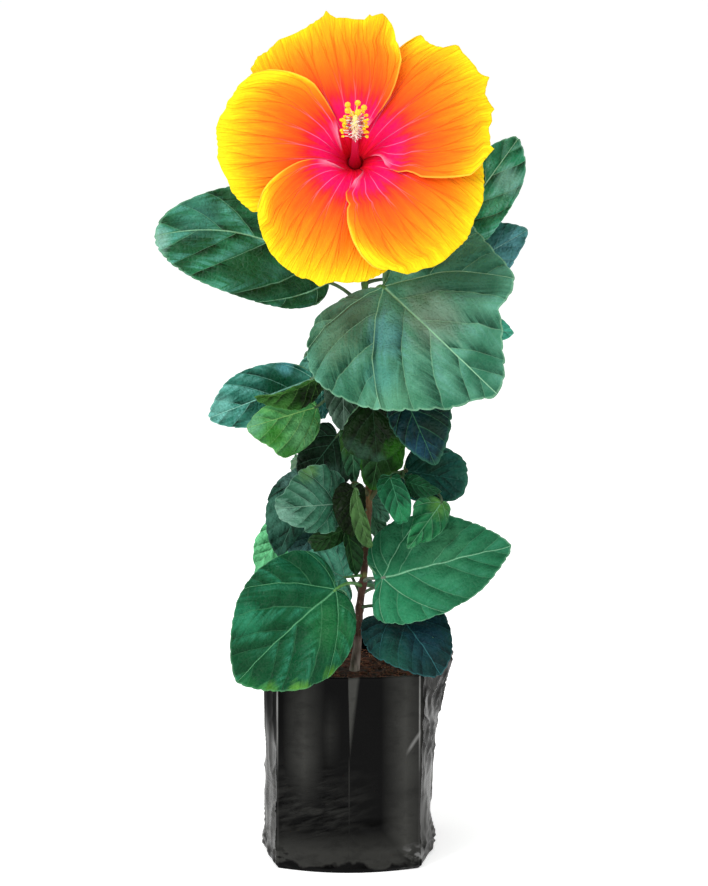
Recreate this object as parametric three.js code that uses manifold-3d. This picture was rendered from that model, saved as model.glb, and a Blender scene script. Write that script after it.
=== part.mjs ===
import * as THREE from 'three';
import { mergeVertices } from 'three/addons/utils/BufferGeometryUtils.js';
import Module from 'manifold-3d';

// A young hibiscus with one open bloom, standing in a black nursery bag.
// Millimetres, Z up, the front is -Y, and the origin is the middle of the bag's flat underside.

const wasm = await Module();
wasm.setup();

const clear = 0.3; // gap kept between pieces that meet
const shrub = new THREE.Group();

const looks = {
  film: new THREE.MeshStandardMaterial({ color: 0x1b1b1c, roughness: 0.35, metalness: 0 }),
  compost: new THREE.MeshStandardMaterial({ color: 0x3b2218, roughness: 1, metalness: 0 }),
  bark: new THREE.MeshStandardMaterial({ color: 0x5a4038, roughness: 0.9, metalness: 0 }),
  green: new THREE.MeshStandardMaterial({ color: 0x2f6b3a, roughness: 0.6, metalness: 0 }),
  leaf: new THREE.MeshStandardMaterial({ color: 0x1f6a44, roughness: 0.5, metalness: 0 }),
  petal: new THREE.MeshStandardMaterial({ color: 0xff8a1c, roughness: 0.6, metalness: 0 }),
  pollen: new THREE.MeshStandardMaterial({ color: 0xf3c325, roughness: 0.7, metalness: 0 }),
};

// Shared ways of making solids

const at = (place) => new THREE.Vector3(...place);

function toSolid(geometry) {
  const shape = geometry.clone();
  shape.deleteAttribute('normal');
  shape.deleteAttribute('uv');
  const merged = mergeVertices(shape, 1e-4);
  const vertProperties = new Float32Array(merged.attributes.position.array);
  const triVerts = new Uint32Array(merged.index.array);
  return new wasm.Manifold(new wasm.Mesh({ numProp: 3, vertProperties, triVerts }));
}

function toGeometry(solid) {
  const mesh = solid.getMesh();
  const geometry = new THREE.BufferGeometry();
  geometry.setAttribute('position', new THREE.BufferAttribute(mesh.vertProperties, 3));
  geometry.setIndex(new THREE.BufferAttribute(mesh.triVerts, 1));
  return geometry;
}

function addNode(name, solid, look, group = shrub) {
  const geometry = toGeometry(solid);
  geometry.computeVertexNormals();
  const mesh = new THREE.Mesh(geometry, look);
  mesh.name = name;
  group.add(mesh);
}

// A closed skin over rings of points, each ring anticlockwise about the way the rings run
function loft(rings) {
  const count = rings[0].length;
  const points = rings.flat();
  const index = [];
  for (let i = 0; i + 1 < rings.length; i += 1) {
    for (let j = 0; j < count; j += 1) {
      const next = (j + 1) % count;
      const [a, b] = [i * count + j, i * count + next];
      index.push(a, b, b + count, a, b + count, a + count);
    }
  }
  const middle = (ring) => ring.reduce((sum, p) => sum.add(p), new THREE.Vector3()).divideScalar(count);
  const last = (rings.length - 1) * count;
  points.push(middle(rings[0]), middle(rings.at(-1)));
  for (let j = 0; j < count; j += 1) {
    const next = (j + 1) % count;
    index.push(points.length - 2, next, j, points.length - 1, last + j, last + next);
  }
  const geometry = new THREE.BufferGeometry().setFromPoints(points);
  geometry.setIndex(index);
  return toSolid(geometry);
}

// A round limb along a curve, its radius told for each fraction of the way
function limb(curve, radiusAt, sides, steps, extra = 0) {
  const frames = curve.computeFrenetFrames(steps, false);
  const rings = [];
  for (let i = 0; i <= steps; i += 1) {
    const centre = curve.getPointAt(i / steps);
    const radius = radiusAt(i / steps) + extra;
    const ring = [];
    for (let j = 0; j < sides; j += 1) {
      const turn = (2 * Math.PI * j) / sides;
      const out = frames.normals[i].clone().multiplyScalar(Math.cos(turn));
      out.addScaledVector(frames.binormals[i], Math.sin(turn));
      ring.push(centre.clone().addScaledVector(out, radius));
    }
    rings.push(ring);
  }
  return loft(rings);
}

// A thin closed sheet: the points of its upper side, its triangles, the points round its rim in
// order, and the way it is thick
function sheet(points, faces, rim, down) {
  const count = points.length;
  const both = points.concat(points.map((p) => p.clone().add(down)));
  const index = [];
  for (const [a, b, c] of faces) {
    index.push(a, b, c, a + count, c + count, b + count);
  }
  rim.forEach((a, i) => {
    const b = rim[(i + 1) % rim.length];
    index.push(a, b + count, b, a, a + count, b + count);
  });
  const geometry = new THREE.BufferGeometry().setFromPoints(both);
  geometry.setIndex(index);
  return toSolid(geometry);
}

// Nursery bag: flat front and back panels with a crease at each corner, and side gussets that bulge
// between them, most of all at the upper right

const bag = { height: 141, panel: 50.5, depth: 51, bow: 5, gusset: 8.5, flare: 5, wall: 1.4 };
const bagPerSide = 8;

function bagRing(z, scale, inset) {
  const ring = [];
  for (let side = 0; side < 4; side += 1) {
    for (let j = 0; j < bagPerSide; j += 1) {
      const t = (2 * j) / bagPerSide - 1;
      const swell = 1 - t * t;
      const gusset = [bag.panel + bag.gusset * swell, bag.depth * t];
      const panel = [-bag.panel * t, bag.depth + bag.bow * swell];
      const [right, back] = side % 2 === 0 ? gusset : panel;
      const [x, y] = side < 2 ? [right, back] : [-right, -back];
      const open = (z / bag.height) ** 3 * (Math.max(0, x) / bag.panel) ** 3 * (1 + (0.6 * y) / bag.depth);
      const shrink = scale * (1 - inset / Math.hypot(x, y));
      ring.push(new THREE.Vector3((x + bag.flare * open) * shrink, y * shrink, z));
    }
  }
  return ring;
}

const wallRings = [[9, 0.99], [30, 1], [75, 1], [112, 1], [bag.height, 0.985]];
const foot = [[0, 0.93], [2.5, 0.965]];
const outside = [...foot, ...wallRings].map(([z, scale]) => bagRing(z, scale, 0));
const inside = wallRings.toReversed().map(([z, scale]) => bagRing(z, scale, bag.wall));
const floor = bagRing(bag.wall + 2, 0.96, bag.wall);
addNode('grow_bag', loft([...outside, ...inside, floor]), looks.film);

// Compost: fills the bag to a finger's width under its rim, level where the stem stands

const ground = 130;
const compostTop = ground - clear;
const filled = [
  [bag.wall + 2.4, 0.955], [9.5, 0.985], [30, 1], [75, 1], [112, 1], [compostTop - 4, 0.985],
];
const compost = filled.map(([z, scale]) => bagRing(z, scale, bag.wall + 2 * clear));
compost.push(bagRing(compostTop - 1.6, 0.86, 0), bagRing(compostTop, 0.45, 0));
addNode('compost', loft(compost), looks.compost);

// Main stem: leans a little to the right, flares at the compost and tapers to the flower stalk

const stemTop = [11.5, 4, 430];
const stemPath = new THREE.CatmullRomCurve3(
  [
    [3.5, 0, 124], [5, 0, 138], [7, 0, 158], [8, 0, 178], [10.5, 0, 197], [12, 0, 218],
    [14, 0, 250], [14.5, 1, 290], [13.5, 2, 345], [11.5, 1, 398], stemTop,
  ].map(at),
);
const flareAt = (t) => 1.5 * Math.exp(-t / 0.06);
const jointAt = (t) => 0.5 * Math.exp(-(((t - 0.235) / 0.02) ** 2));
const stemRadius = (t) => 2.7 - 0.5 * t + flareAt(t) + jointAt(t);
const stemSides = 12;
const stemSteps = 32;

const limbs = { main_stem: { path: stemPath, radius: stemRadius, sides: stemSides, steps: stemSteps } };
const stem = limb(stemPath, stemRadius, stemSides, stemSteps);
addNode('main_stem', stem.trimByPlane([0, 0, 1], ground), looks.bark);

// Side shoots: each leaves the main stem and stops 0.3 mm clear of it

const shoots = {
  shoot_left_upper: [[14, 0, 300], [5, -3, 313], [-7, -6, 327], [-18, -8, 338]],
  shoot_left_lower: [[14, 0, 258], [9, -9, 266], [4, -18, 271], [2, -24, 270]],
  shoot_right: [[14, 0, 254], [23, -4, 267], [32, -6, 274], [41, -4, 277]],
  shoot_back: [[14, 1, 276], [14.5, 9, 289], [13.5, 16, 299], [12, 21, 308]],
};
const shootRadius = (t) => 1.9 - 0.5 * t;
const [shootSides, shootSteps] = [8, 8];
const meeting = clear + 0.05; // how far a limb is let into what springs from it
const stemCut = limb(stemPath, stemRadius, stemSides, stemSteps, meeting);
for (const [name, points] of Object.entries(shoots)) {
  const path = new THREE.CatmullRomCurve3(points.map(at));
  limbs[name] = { path, radius: shootRadius, sides: shootSides, steps: shootSteps };
  addNode(name, limb(path, shootRadius, shootSides, shootSteps).subtract(stemCut), looks.bark);
}

const cutters = {};
for (const [name, one] of Object.entries(limbs)) {
  cutters[name] = limb(one.path, one.radius, one.sides, one.steps, meeting);
}

// Leaves: a heart-shaped blade on a thin stalk that springs from a limb.
// base is where the stalk meets the blade, halves are the widths left and right of the midrib as
// the face is seen, and from is the limb and how far along it the stalk starts.
// arch lifts the middle, fold raises both halves, bow bends the midrib sideways, and wave is the
// height and the number of the margin's waves

const toFront = [0, -0.97, 0.22];
const bladeThickness = (length) => Math.max(1, 0.0125 * length);

function bladePoint(leaf, length, angle, reach) {
  const lobe = leaf.lobe ?? 0.2;
  const broad = leaf.broad ?? 0.27;
  const [cos, sin] = [Math.cos(angle), Math.abs(Math.sin(angle))];
  const half = Math.sin(angle) >= 0 ? leaf.halves[0] : leaf.halves[1];
  const side = Math.sin(angle) >= 0 ? 1 : -1;
  const share = (sin ** (1 + 0.175 * (1 + cos)) * (1 - broad * cos)) / (1 + broad ** 2 / 2);
  const notch = cos < 0 ? (lobe - 0.03) * Math.exp(-((share / 0.4) ** 2)) : 0;
  const x = length * ((1 - lobe) / 2 + ((1 + lobe) / 2) * cos + notch) * reach;
  const u = x / length;
  const y = side * half * share * reach;
  const [height, count, phase] = leaf.wave ?? [1.5, 5, 0];
  const lift =
    (leaf.arch ?? 5) * 4 * u * (1 - u) +
    (leaf.fold ?? 0.12) * (Math.hypot(y, 0.15 * half) - 0.15 * half) +
    height * reach ** 2 * Math.sin(count * angle + phase);
  return [x, y + (leaf.bow ?? 0) * 4 * u * (1 - u), lift];
}

function leafFrame(leaf) {
  const base = at(leaf.base);
  const along = at(leaf.tip).sub(base);
  const length = along.length();
  along.normalize();
  const up = at(leaf.face ?? toFront);
  up.addScaledVector(along, -up.dot(along)).normalize();
  return { base, along, up, across: new THREE.Vector3().crossVectors(up, along), length };
}

function blade(leaf) {
  const { base, along, up, across, length } = leafFrame(leaf);
  const spokes = length > 75 ? 18 : 14;
  const reaches = length > 75 ? [0.36, 0.7, 1] : [0.5, 1];
  const points = [base.clone()];
  const faces = [];
  for (const reach of reaches) {
    for (let j = 0; j < spokes; j += 1) {
      const [x, y, lift] = bladePoint(leaf, length, (2 * Math.PI * j) / spokes, reach);
      const point = base.clone().addScaledVector(along, x);
      points.push(point.addScaledVector(across, y).addScaledVector(up, lift));
    }
  }
  for (let j = 0; j < spokes; j += 1) {
    const next = (j + 1) % spokes;
    faces.push([0, 1 + j, 1 + next]);
    for (let i = 0; i + 1 < reaches.length; i += 1) {
      const [a, b] = [1 + i * spokes + j, 1 + i * spokes + next];
      faces.push([a, a + spokes, b + spokes], [a, b + spokes, b]);
    }
  }
  const rim = points.map((_, i) => i).slice(-spokes);
  return sheet(points, faces, rim, up.clone().multiplyScalar(-bladeThickness(length)));
}

function leafStalk(leaf) {
  const { base, along, up, length } = leafFrame(leaf);
  const root = limbs[leaf.from[0]].path.getPointAt(leaf.from[1]);
  const end = base.clone().addScaledVector(up, -0.5 * bladeThickness(length)).addScaledVector(along, 2);
  const span = root.distanceTo(end);
  const first = root.clone().lerp(end, 0.35).add(new THREE.Vector3(0, 0, 0.12 * span));
  const second = end.clone().addScaledVector(along, -0.3 * span);
  const path = new THREE.CubicBezierCurve3(root, first, second, end);
  const thick = 0.9 + 0.004 * length;
  return limb(path, (t) => thick * (1.2 - 0.3 * t), 4, 5);
}

function addLeaf(name, leaf) {
  const whole = blade(leaf).add(leafStalk(leaf)).subtract(cutters[leaf.from[0]]);
  addNode(name, whole, looks.leaf);
}

const topLeaves = {
  leaf_upper_left: {
    base: [-14, -5, 411], tip: [-133, -24, 446], halves: [30, 37], bow: -15, broad: 0.05, lobe: 0.06,
    arch: 8, wave: [2, 6, 0], from: ['main_stem', 0.87],
  },
  leaf_big_front: {
    base: [24, -22, 411], tip: [101, -85, 348], halves: [72, 80], lobe: 0.3, broad: 0.3, arch: 9,
    wave: [2.5, 7, 1], from: ['main_stem', 0.86],
  },
  leaf_top_right: {
    base: [63, -6, 435], tip: [116, 6, 508], halves: [20, 30], broad: -0.1, wave: [2, 5, 2],
    from: ['main_stem', 0.97],
  },
  leaf_right_blue: {
    base: [67, 14, 410], tip: [125, 11, 445], halves: [26, 27], wave: [2, 5, 0], from: ['main_stem', 0.93],
  },
  leaf_right_back: {
    base: [75, 22, 378], tip: [116, 18, 370], halves: [14, 14], from: ['main_stem', 0.76],
  },
};

const upperLeftLeaves = {
  leaf_left_broad: {
    base: [-25, 4, 341], tip: [-98, -8, 315], halves: [20, 20], broad: 0.05, wave: [2, 6, 1],
    from: ['shoot_left_upper', 0.9],
  },
  leaf_left_folded: {
    base: [-21, -24, 347], tip: [-65, -40, 336], halves: [11, 11], face: [0.19, -0.77, -0.46], fold: 0.84,
    wave: [1, 5, 0], from: ['shoot_left_upper', 0.97],
  },
  leaf_left_bright: {
    base: [-21, -12, 324], tip: [-71, -26, 312], halves: [27, 14], wave: [2, 5, 2],
    from: ['shoot_left_upper', 0.8],
  },
  leaf_left_teal: {
    base: [-19, 14, 327], tip: [-18, 12, 309], halves: [6, 6], from: ['shoot_left_upper', 0.6],
  },
  leaf_left_peek: {
    base: [-10, 16, 359], tip: [-35, 15, 346], halves: [9, 9], lobe: 0.08, arch: 1,
    from: ['main_stem', 0.79],
  },
  leaf_left_veined: {
    base: [-8, -1, 301], tip: [-34, -3, 267], halves: [20, 18], arch: 3, from: ['shoot_left_upper', 0.35],
  },
};

const middleLeaves = {
  leaf_middle_grey: {
    base: [-4, -14, 348], tip: [-3, -18, 309], halves: [16, 10], arch: 3, from: ['main_stem', 0.7],
  },
  leaf_middle_dark: {
    base: [16, -26, 333], tip: [20, -32, 289], halves: [22, 22], broad: 0, from: ['main_stem', 0.64],
  },
  leaf_middle_low: {
    base: [2, -11, 312], tip: [4, -9, 276], halves: [8, 9], arch: 2, from: ['shoot_left_upper', 0.3],
  },
  leaf_middle_olive: {
    base: [25, -8, 311], tip: [17, -9, 266], halves: [18, 12], arch: 3, from: ['main_stem', 0.56],
  },
  leaf_right_navy: {
    base: [40, -38, 334], tip: [60, -46, 290], halves: [27, 18], broad: 0.4, from: ['main_stem', 0.67],
  },
};

const rightLeaves = {
  leaf_right_round: {
    base: [40, 7, 274], tip: [84, 0, 268], halves: [23, 20], arch: 4, from: ['shoot_right', 0.97],
  },
  leaf_right_small: {
    base: [40, -17, 272], tip: [59, -24, 268], halves: [7, 9], from: ['shoot_right', 0.9],
  },
  leaf_right_cupped: {
    base: [29, -26, 277], tip: [38, -42, 249], halves: [9, 12], from: ['shoot_right', 0.86],
  },
  leaf_right_curled: {
    base: [65, -21, 258], tip: [41, -36, 228], halves: [12, 10], lobe: 0.08, wave: [2.5, 5, 0],
    from: ['shoot_right', 0.76],
  },
};

const leftLeaves = {
  leaf_left_ruffled: {
    base: [-9, -22, 257], tip: [-52, -42, 259], halves: [20, 29], lobe: 0.3, broad: 0.1, wave: [3, 7, 1],
    from: ['main_stem', 0.4],
  },
  leaf_left_dark: {
    base: [-26, 6, 269], tip: [-50, 0, 213], halves: [18, 24], from: ['main_stem', 0.43],
  },
  leaf_left_slate: {
    base: [-15, 9, 239], tip: [-40, 6, 209], halves: [15, 15], lobe: 0.08, from: ['main_stem', 0.34],
  },
  leaf_left_far: {
    base: [-34, 27, 236], tip: [-68, 22, 210], halves: [15, 17], from: ['main_stem', 0.31],
  },
  leaf_inner_dark: {
    base: [0, -28, 267], tip: [-2, -31, 239], halves: [3, 9], arch: 2, from: ['shoot_left_lower', 0.7],
  },
  leaf_inner_light: {
    base: [6, -34, 269], tip: [17, -41, 229], halves: [6, 6], from: ['shoot_left_lower', 0.97],
  },
  leaf_inner_left: {
    base: [-7, -9, 237], tip: [-27, -14, 225], halves: [7, 6], from: ['main_stem', 0.345],
  },
  leaf_inner_right: {
    base: [2, -12, 232], tip: [6, -15, 203], halves: [7, 7], from: ['main_stem', 0.31],
  },
  leaf_behind_upper: {
    base: [12, 12, 256], tip: [29, 9, 236], halves: [8, 8], from: ['main_stem', 0.45],
  },
  leaf_behind_lower: {
    base: [14, 19, 243], tip: [26, 16, 220], halves: [8, 8], from: ['main_stem', 0.36],
  },
};

const lowLeaves = {
  leaf_low_left: {
    base: [-9, -32, 198], tip: [-78, -60, 139], halves: [43, 45], face: [-0.1, -0.87, 0.48], broad: 0.1,
    arch: 8, wave: [2, 7, 0], from: ['main_stem', 0.222],
  },
  leaf_low_right: {
    base: [24, -26, 205], tip: [113, -40, 232], halves: [38, 39], face: [0, -0.82, 0.57], arch: 2,
    broad: 0.35, from: ['main_stem', 0.232],
  },
  leaf_low_dark: {
    base: [33, -22, 179], tip: [64, -68, 147], halves: [27, 36], face: [0.1, -0.72, 0.7], broad: 0.05,
    from: ['main_stem', 0.17],
  },
  leaf_low_middle: {
    base: [-3, -10, 201], tip: [-34, -8, 216], halves: [14, 17], from: ['main_stem', 0.245],
  },
};

// Leaves on the side away from the front, by one rule: two at each level, right and left, each a
// little turned and lengthened by a seeded draw

const backLevels = [['main_stem', 0.2], ['main_stem', 0.47], ['shoot_back', 0.95], ['main_stem', 0.73]];
const backStalk = 28;
const backBlade = { shortest: 52, range: 16, droop: 0.45, left: 0.42, right: 0.4 };
const modulus = 2147483647;
let seed = 20;
function draw() {
  seed = (seed * 16807) % modulus;
  return seed / modulus;
}

const backLeaves = {};
backLevels.forEach((from, level) => {
  [1, -1].forEach((side) => {
    const swing = THREE.MathUtils.degToRad(90 - side * (32 + 8 * draw()));
    const length = backBlade.shortest + backBlade.range * draw();
    const root = limbs[from[0]].path.getPointAt(from[1]);
    const out = new THREE.Vector3(Math.cos(swing), Math.sin(swing), 0);
    const base = root.clone().addScaledVector(out, backStalk);
    base.z += 8 - 9 * side;
    const tip = base.clone().addScaledVector(out, 0.86 * length);
    tip.z -= backBlade.droop * length;
    backLeaves[`leaf_back_${side > 0 ? 'right' : 'left'}_${level + 1}`] = {
      base: base.toArray(),
      tip: tip.toArray(),
      halves: [backBlade.left * length, backBlade.right * length],
      face: [0.5 * out.x, 0.5 * out.y, 0.85],
      from,
    };
  });
});

const foliage = [
  topLeaves, upperLeftLeaves, middleLeaves, rightLeaves, leftLeaves, lowLeaves, backLeaves,
];
for (const leaves of foliage) {
  for (const [name, leaf] of Object.entries(leaves)) {
    addLeaf(name, leaf);
  }
}

// Bloom: its axis looks forward and up, the petals spring from its throat and each lies over the
// one before it

const throat = at([4.5, -32, 498]);
const bloomTilt = THREE.MathUtils.degToRad(28);
const outward = new THREE.Vector3(0, -Math.cos(bloomTilt), Math.sin(bloomTilt));
const bloomUp = new THREE.Vector3(0, Math.sin(bloomTilt), Math.cos(bloomTilt));
const bloomRight = new THREE.Vector3(1, 0, 0);
const petalThickness = 1.3;
const eye = 5; // distance from the axis where the petals start
const funnelDepth = 34;
const marginRoll = 5; // how far the outer margin curls back
const funnel = (r) => funnelDepth * (1 - Math.exp(-(r - eye) / 20)) - marginRoll * (r / 97) ** 4;

function bloomPoint(r, turn, height) {
  const point = throat.clone().addScaledVector(outward, height);
  point.addScaledVector(bloomRight, r * Math.cos(turn));
  return point.addScaledVector(bloomUp, r * Math.sin(turn));
}

const petals = [
  { centre: 103, radius: 98, spread: 48 },
  { centre: 175, radius: 95, spread: 52 },
  { centre: 246, radius: 96, spread: 52 },
  { centre: 316, radius: 97, spread: 56 },
  { centre: 26, radius: 99, spread: 47 },
];

// along runs from the claw to the outer margin, across from the edge that lies over its neighbour
// to the edge that lies under
function petalPoint(petal, along, across) {
  const claw = 0.5 + 0.5 * Math.min(1, along / 0.3);
  const spread = THREE.MathUtils.degToRad(petal.spread) * claw * (1 - 0.28 * along ** 3);
  const reach = petal.radius * (1 - 0.14 * Math.abs(across) ** 3);
  const r = eye + (reach - eye) * along;
  const turn = THREE.MathUtils.degToRad(petal.centre) + across * spread;
  const lap = -4.2 * across * ((r - eye) / petal.radius) ** 0.6;
  const ruffle = 1.4 * along ** 3 * Math.sin(6 * across + petal.centre);
  return bloomPoint(r, turn, funnel(r) + lap + ruffle);
}

petals.forEach((petal, number) => {
  const [rows, columns] = [7, 8];
  const points = [];
  const faces = [];
  const order = (i, j) => i * (columns + 1) + j;
  for (let i = 0; i <= rows; i += 1) {
    for (let j = 0; j <= columns; j += 1) {
      points.push(petalPoint(petal, (i / rows) ** 1.3, (2 * j) / columns - 1));
    }
  }
  for (let i = 0; i < rows; i += 1) {
    for (let j = 0; j < columns; j += 1) {
      faces.push([order(i, j), order(i + 1, j), order(i + 1, j + 1)]);
      faces.push([order(i, j), order(i + 1, j + 1), order(i, j + 1)]);
    }
  }
  const rim = [];
  for (let i = 0; i < rows; i += 1) rim.push(order(i, 0));
  for (let j = 0; j < columns; j += 1) rim.push(order(rows, j));
  for (let i = rows; i > 0; i -= 1) rim.push(order(i, columns));
  for (let j = columns; j > 0; j -= 1) rim.push(order(0, j));
  const solid = sheet(points, faces, rim, outward.clone().multiplyScalar(-petalThickness));
  addNode(`petal_${number + 1}`, solid, looks.petal);
});

// Calyx: a green cup that the petals sit in, with five teeth that stand between their claws

const cup = { foot: -24, floor: -5, mouth: 2.6 };

function calyxRing(height, radius, teeth) {
  const ring = [];
  const firstTooth = THREE.MathUtils.degToRad(67);
  for (let j = 0; j < 20; j += 1) {
    const turn = firstTooth + (2 * Math.PI * j) / 20;
    ring.push(bloomPoint(radius, turn, height + teeth * Math.cos((Math.PI * j) / 2)));
  }
  return ring;
}
const calyx = [
  calyxRing(cup.foot, 2.4, 0),
  calyxRing(cup.foot + 2, 5.2, 0),
  calyxRing(-12, 7, 0),
  calyxRing(-3, 8.4, 0.5),
  calyxRing(cup.mouth, 9.8, 1),
  calyxRing(cup.mouth - 0.2, 8.7, 1),
  calyxRing(cup.floor, 6.4, 0),
];
addNode('calyx', loft(calyx), looks.green);

// Flower stalk: from the top of the main stem to the calyx

const calyxFoot = throat.clone().addScaledVector(outward, cup.foot - clear);
const stalkPath = new THREE.CubicBezierCurve3(
  at(stemTop).add(new THREE.Vector3(0, 0, clear + 0.1)),
  at([10, 8, 452]),
  calyxFoot.clone().addScaledVector(outward, -16),
  calyxFoot,
);
addNode('flower_stalk', limb(stalkPath, (t) => 1.9 - 0.2 * t, 8, 12), looks.green);

// Staminal column: a red shaft that curves up out of the throat, with anthers round its upper
// part and five stigma pads at its end

const columnPath = new THREE.QuadraticBezierCurve3(
  bloomPoint(0, 0, cup.floor + clear),
  bloomPoint(0, 0, 30),
  bloomPoint(15, Math.PI / 2, 50),
);
let column = limb(columnPath, (t) => 2.9 - 1.2 * t, 8, 8);
const bead = (centre, radius) => {
  const shape = new THREE.IcosahedronGeometry(radius, 0);
  shape.translate(...centre);
  return toSolid(shape);
};
const columnSteps = 60;
const columnFrames = columnPath.computeFrenetFrames(columnSteps, false);
function columnPoint(t, turn, reach) {
  const i = Math.round(columnSteps * t);
  const point = columnPath.getPointAt(i / columnSteps);
  point.addScaledVector(columnFrames.normals[i], reach * Math.cos(turn));
  return point.addScaledVector(columnFrames.binormals[i], reach * Math.sin(turn));
}
const thread = (from, to, radius) => limb(new THREE.LineCurve3(from, to), () => radius, 3, 1);

const anther = { count: 11, start: 0.6, run: 0.34, turn: 2.4, reach: 8, thread: 0.5, bead: 1.6 };
for (let i = 0; i < anther.count; i += 1) {
  const t = anther.start + (anther.run * i) / anther.count;
  const turn = anther.turn * i;
  const end = columnPoint(t, turn, anther.reach);
  column = column.add(thread(columnPoint(t, turn, 0), end, anther.thread)).add(bead(end, anther.bead));
}
const pad = { count: 5, start: 0.97, reach: 6, rise: 5, thread: 0.6, bead: 2.3 };
for (let i = 0; i < pad.count; i += 1) {
  const end = columnPoint(1, (2 * Math.PI * i) / pad.count, pad.reach);
  end.addScaledVector(outward, 2).addScaledVector(bloomUp, pad.rise);
  column = column.add(thread(columnPoint(pad.start, 0, 0), end, pad.thread)).add(bead(end, pad.bead));
}
addNode('staminal_column', column, looks.pollen);

export default shrub;
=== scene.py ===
import math
import random

import bpy
import numpy as np
from mathutils import Matrix, Vector, noise


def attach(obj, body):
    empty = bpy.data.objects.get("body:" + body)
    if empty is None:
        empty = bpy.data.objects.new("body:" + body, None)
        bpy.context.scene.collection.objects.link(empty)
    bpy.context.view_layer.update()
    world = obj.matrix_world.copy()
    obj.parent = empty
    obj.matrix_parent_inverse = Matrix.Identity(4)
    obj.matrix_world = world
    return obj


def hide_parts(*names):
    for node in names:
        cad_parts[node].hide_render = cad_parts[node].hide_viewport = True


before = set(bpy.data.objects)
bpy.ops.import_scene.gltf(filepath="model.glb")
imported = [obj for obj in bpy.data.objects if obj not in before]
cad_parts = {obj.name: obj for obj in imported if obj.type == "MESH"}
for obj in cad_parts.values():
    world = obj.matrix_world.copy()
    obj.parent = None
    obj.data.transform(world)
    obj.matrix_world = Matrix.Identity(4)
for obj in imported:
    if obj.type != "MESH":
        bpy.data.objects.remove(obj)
bpy.ops.object.select_all(action="DESELECT")
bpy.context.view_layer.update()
MM = 0.001

# Camera, floor and lamps
# The camera looks from the front and a little down on the bloom and the bag, over a pale floor.
# Soft lamps stand to the left, the right and above, in a white room that is dimmer in front.

aim = Vector((3.85, 0, 295.6)) * MM
looking_down = math.radians(13)
camera_distance = 2.4
away = Vector((0, -math.cos(looking_down), math.sin(looking_down)))
bpy.ops.object.camera_add(
    location=aim + camera_distance * away, rotation=(math.pi / 2 - looking_down, 0, 0)
)
camera = bpy.context.object
camera.name = "camera"
camera.data.lens = 139.3
camera.data.sensor_width = 36
bpy.context.scene.camera = camera
bpy.context.scene.view_settings.view_transform = "Standard"


def paint(code):
    """The colour that a hex code names, as Blender's linear red, green, blue and alpha"""
    shades = [int(code[i : i + 2], 16) / 255 for i in (1, 3, 5)]
    return [s / 12.92 if s < 0.04045 else ((s + 0.055) / 1.055) ** 2.4 for s in shades] + [1]


class Pattern:
    """A number, colour or place that varies over a surface; arithmetic on it adds shader nodes"""

    def __init__(self, tree, socket):
        self.tree = tree
        self.socket = socket

    def node(self, kind, inputs, out=0, **settings):
        return make_node(self.tree, kind, inputs, out, **settings)

    def maths(self, operation, other=0.0, third=0.0):
        return self.node("ShaderNodeMath", {0: self, 1: other, 2: third}, operation=operation)

    def __add__(self, other):
        return self.maths("ADD", other)

    def __sub__(self, other):
        return self.maths("SUBTRACT", other)

    def __mul__(self, other):
        return self.maths("MULTIPLY", other)

    def __abs__(self):
        return self.maths("ABSOLUTE")

    def over(self, other):
        """The larger of two patterns"""
        return self.maths("MAXIMUM", other)

    def level(self, low, high, start=0.0, end=1.0):
        """start at low, end at high, even between them and unchanging outside"""
        spread = {"Value": self, "From Min": low, "From Max": high, "To Min": start, "To Max": end}
        return self.node("ShaderNodeMapRange", spread)

    def rises(self, low, high, start=0.0, end=1.0):
        """level, for sizes in millimetres"""
        return self.level(low * MM, high * MM, start, end)

    def hump(self, middle, reach):
        """1 at the middle, falling to 0 over the reach in millimetres to both sides"""
        return abs(self - middle * MM).rises(0, reach, 1, 0)

    def grain(self, scale, detail=2.0, stretch=(1, 1, 1), roughness=0.5):
        """Noise from 0 to 1 over this place, drawn out along an axis where stretch is small"""
        moved = self.node("ShaderNodeMapping", {"Vector": self, "Scale": stretch})
        noise_inputs = {"Vector": moved, "Scale": scale, "Detail": detail, "Roughness": roughness}
        return self.node("ShaderNodeTexNoise", noise_inputs)

    def parts(self):
        """A place's three sizes"""
        made = self.tree.nodes.new("ShaderNodeSeparateXYZ")
        self.tree.links.new(self.socket, made.inputs[0])
        return [Pattern(self.tree, part) for part in made.outputs]

    def blend(self, first, second):
        """A colour between two colours, by this share of the second"""
        colours = [paint(c) if isinstance(c, str) else c for c in (first, second)]
        mixed = {0: self, 6: colours[0], 7: colours[1]}
        return self.node("ShaderNodeMix", mixed, 2, data_type="RGBA")

    def ramp(self, stops):
        """Colours that change at stops, which are shares and hex codes"""
        made = self.tree.nodes.new("ShaderNodeValToRGB")
        self.tree.links.new(self.socket, made.inputs[0])
        for i, (at, code) in enumerate(stops):
            if i > 1:
                made.color_ramp.elements.new(at)
            made.color_ramp.elements[i].position = at
            made.color_ramp.elements[i].color = paint(code)
        return Pattern(self.tree, made.outputs[0])

    def feed(self, shader, name):
        self.tree.links.new(self.socket, shader.inputs[name])

    def raise_surface(self, shader, depth):
        """Raises and sinks the surface's look by this height, which runs from 0 to 1"""
        bump = {"Height": self, "Distance": depth, "Strength": 1.0}
        self.node("ShaderNodeBump", bump).feed(shader, "Normal")


def make_node(tree, kind, inputs=(), out=0, **settings):
    """Adds a node, sets it, joins or sets its inputs, and gives one of its outputs"""
    made = tree.nodes.new(kind)
    for key, value in settings.items():
        setattr(made, key, value)
    for socket, value in dict(inputs).items():
        if isinstance(value, Pattern):
            tree.links.new(value.socket, made.inputs[socket])
        else:
            made.inputs[socket].default_value = value
    return Pattern(tree, made.outputs[out])


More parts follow.
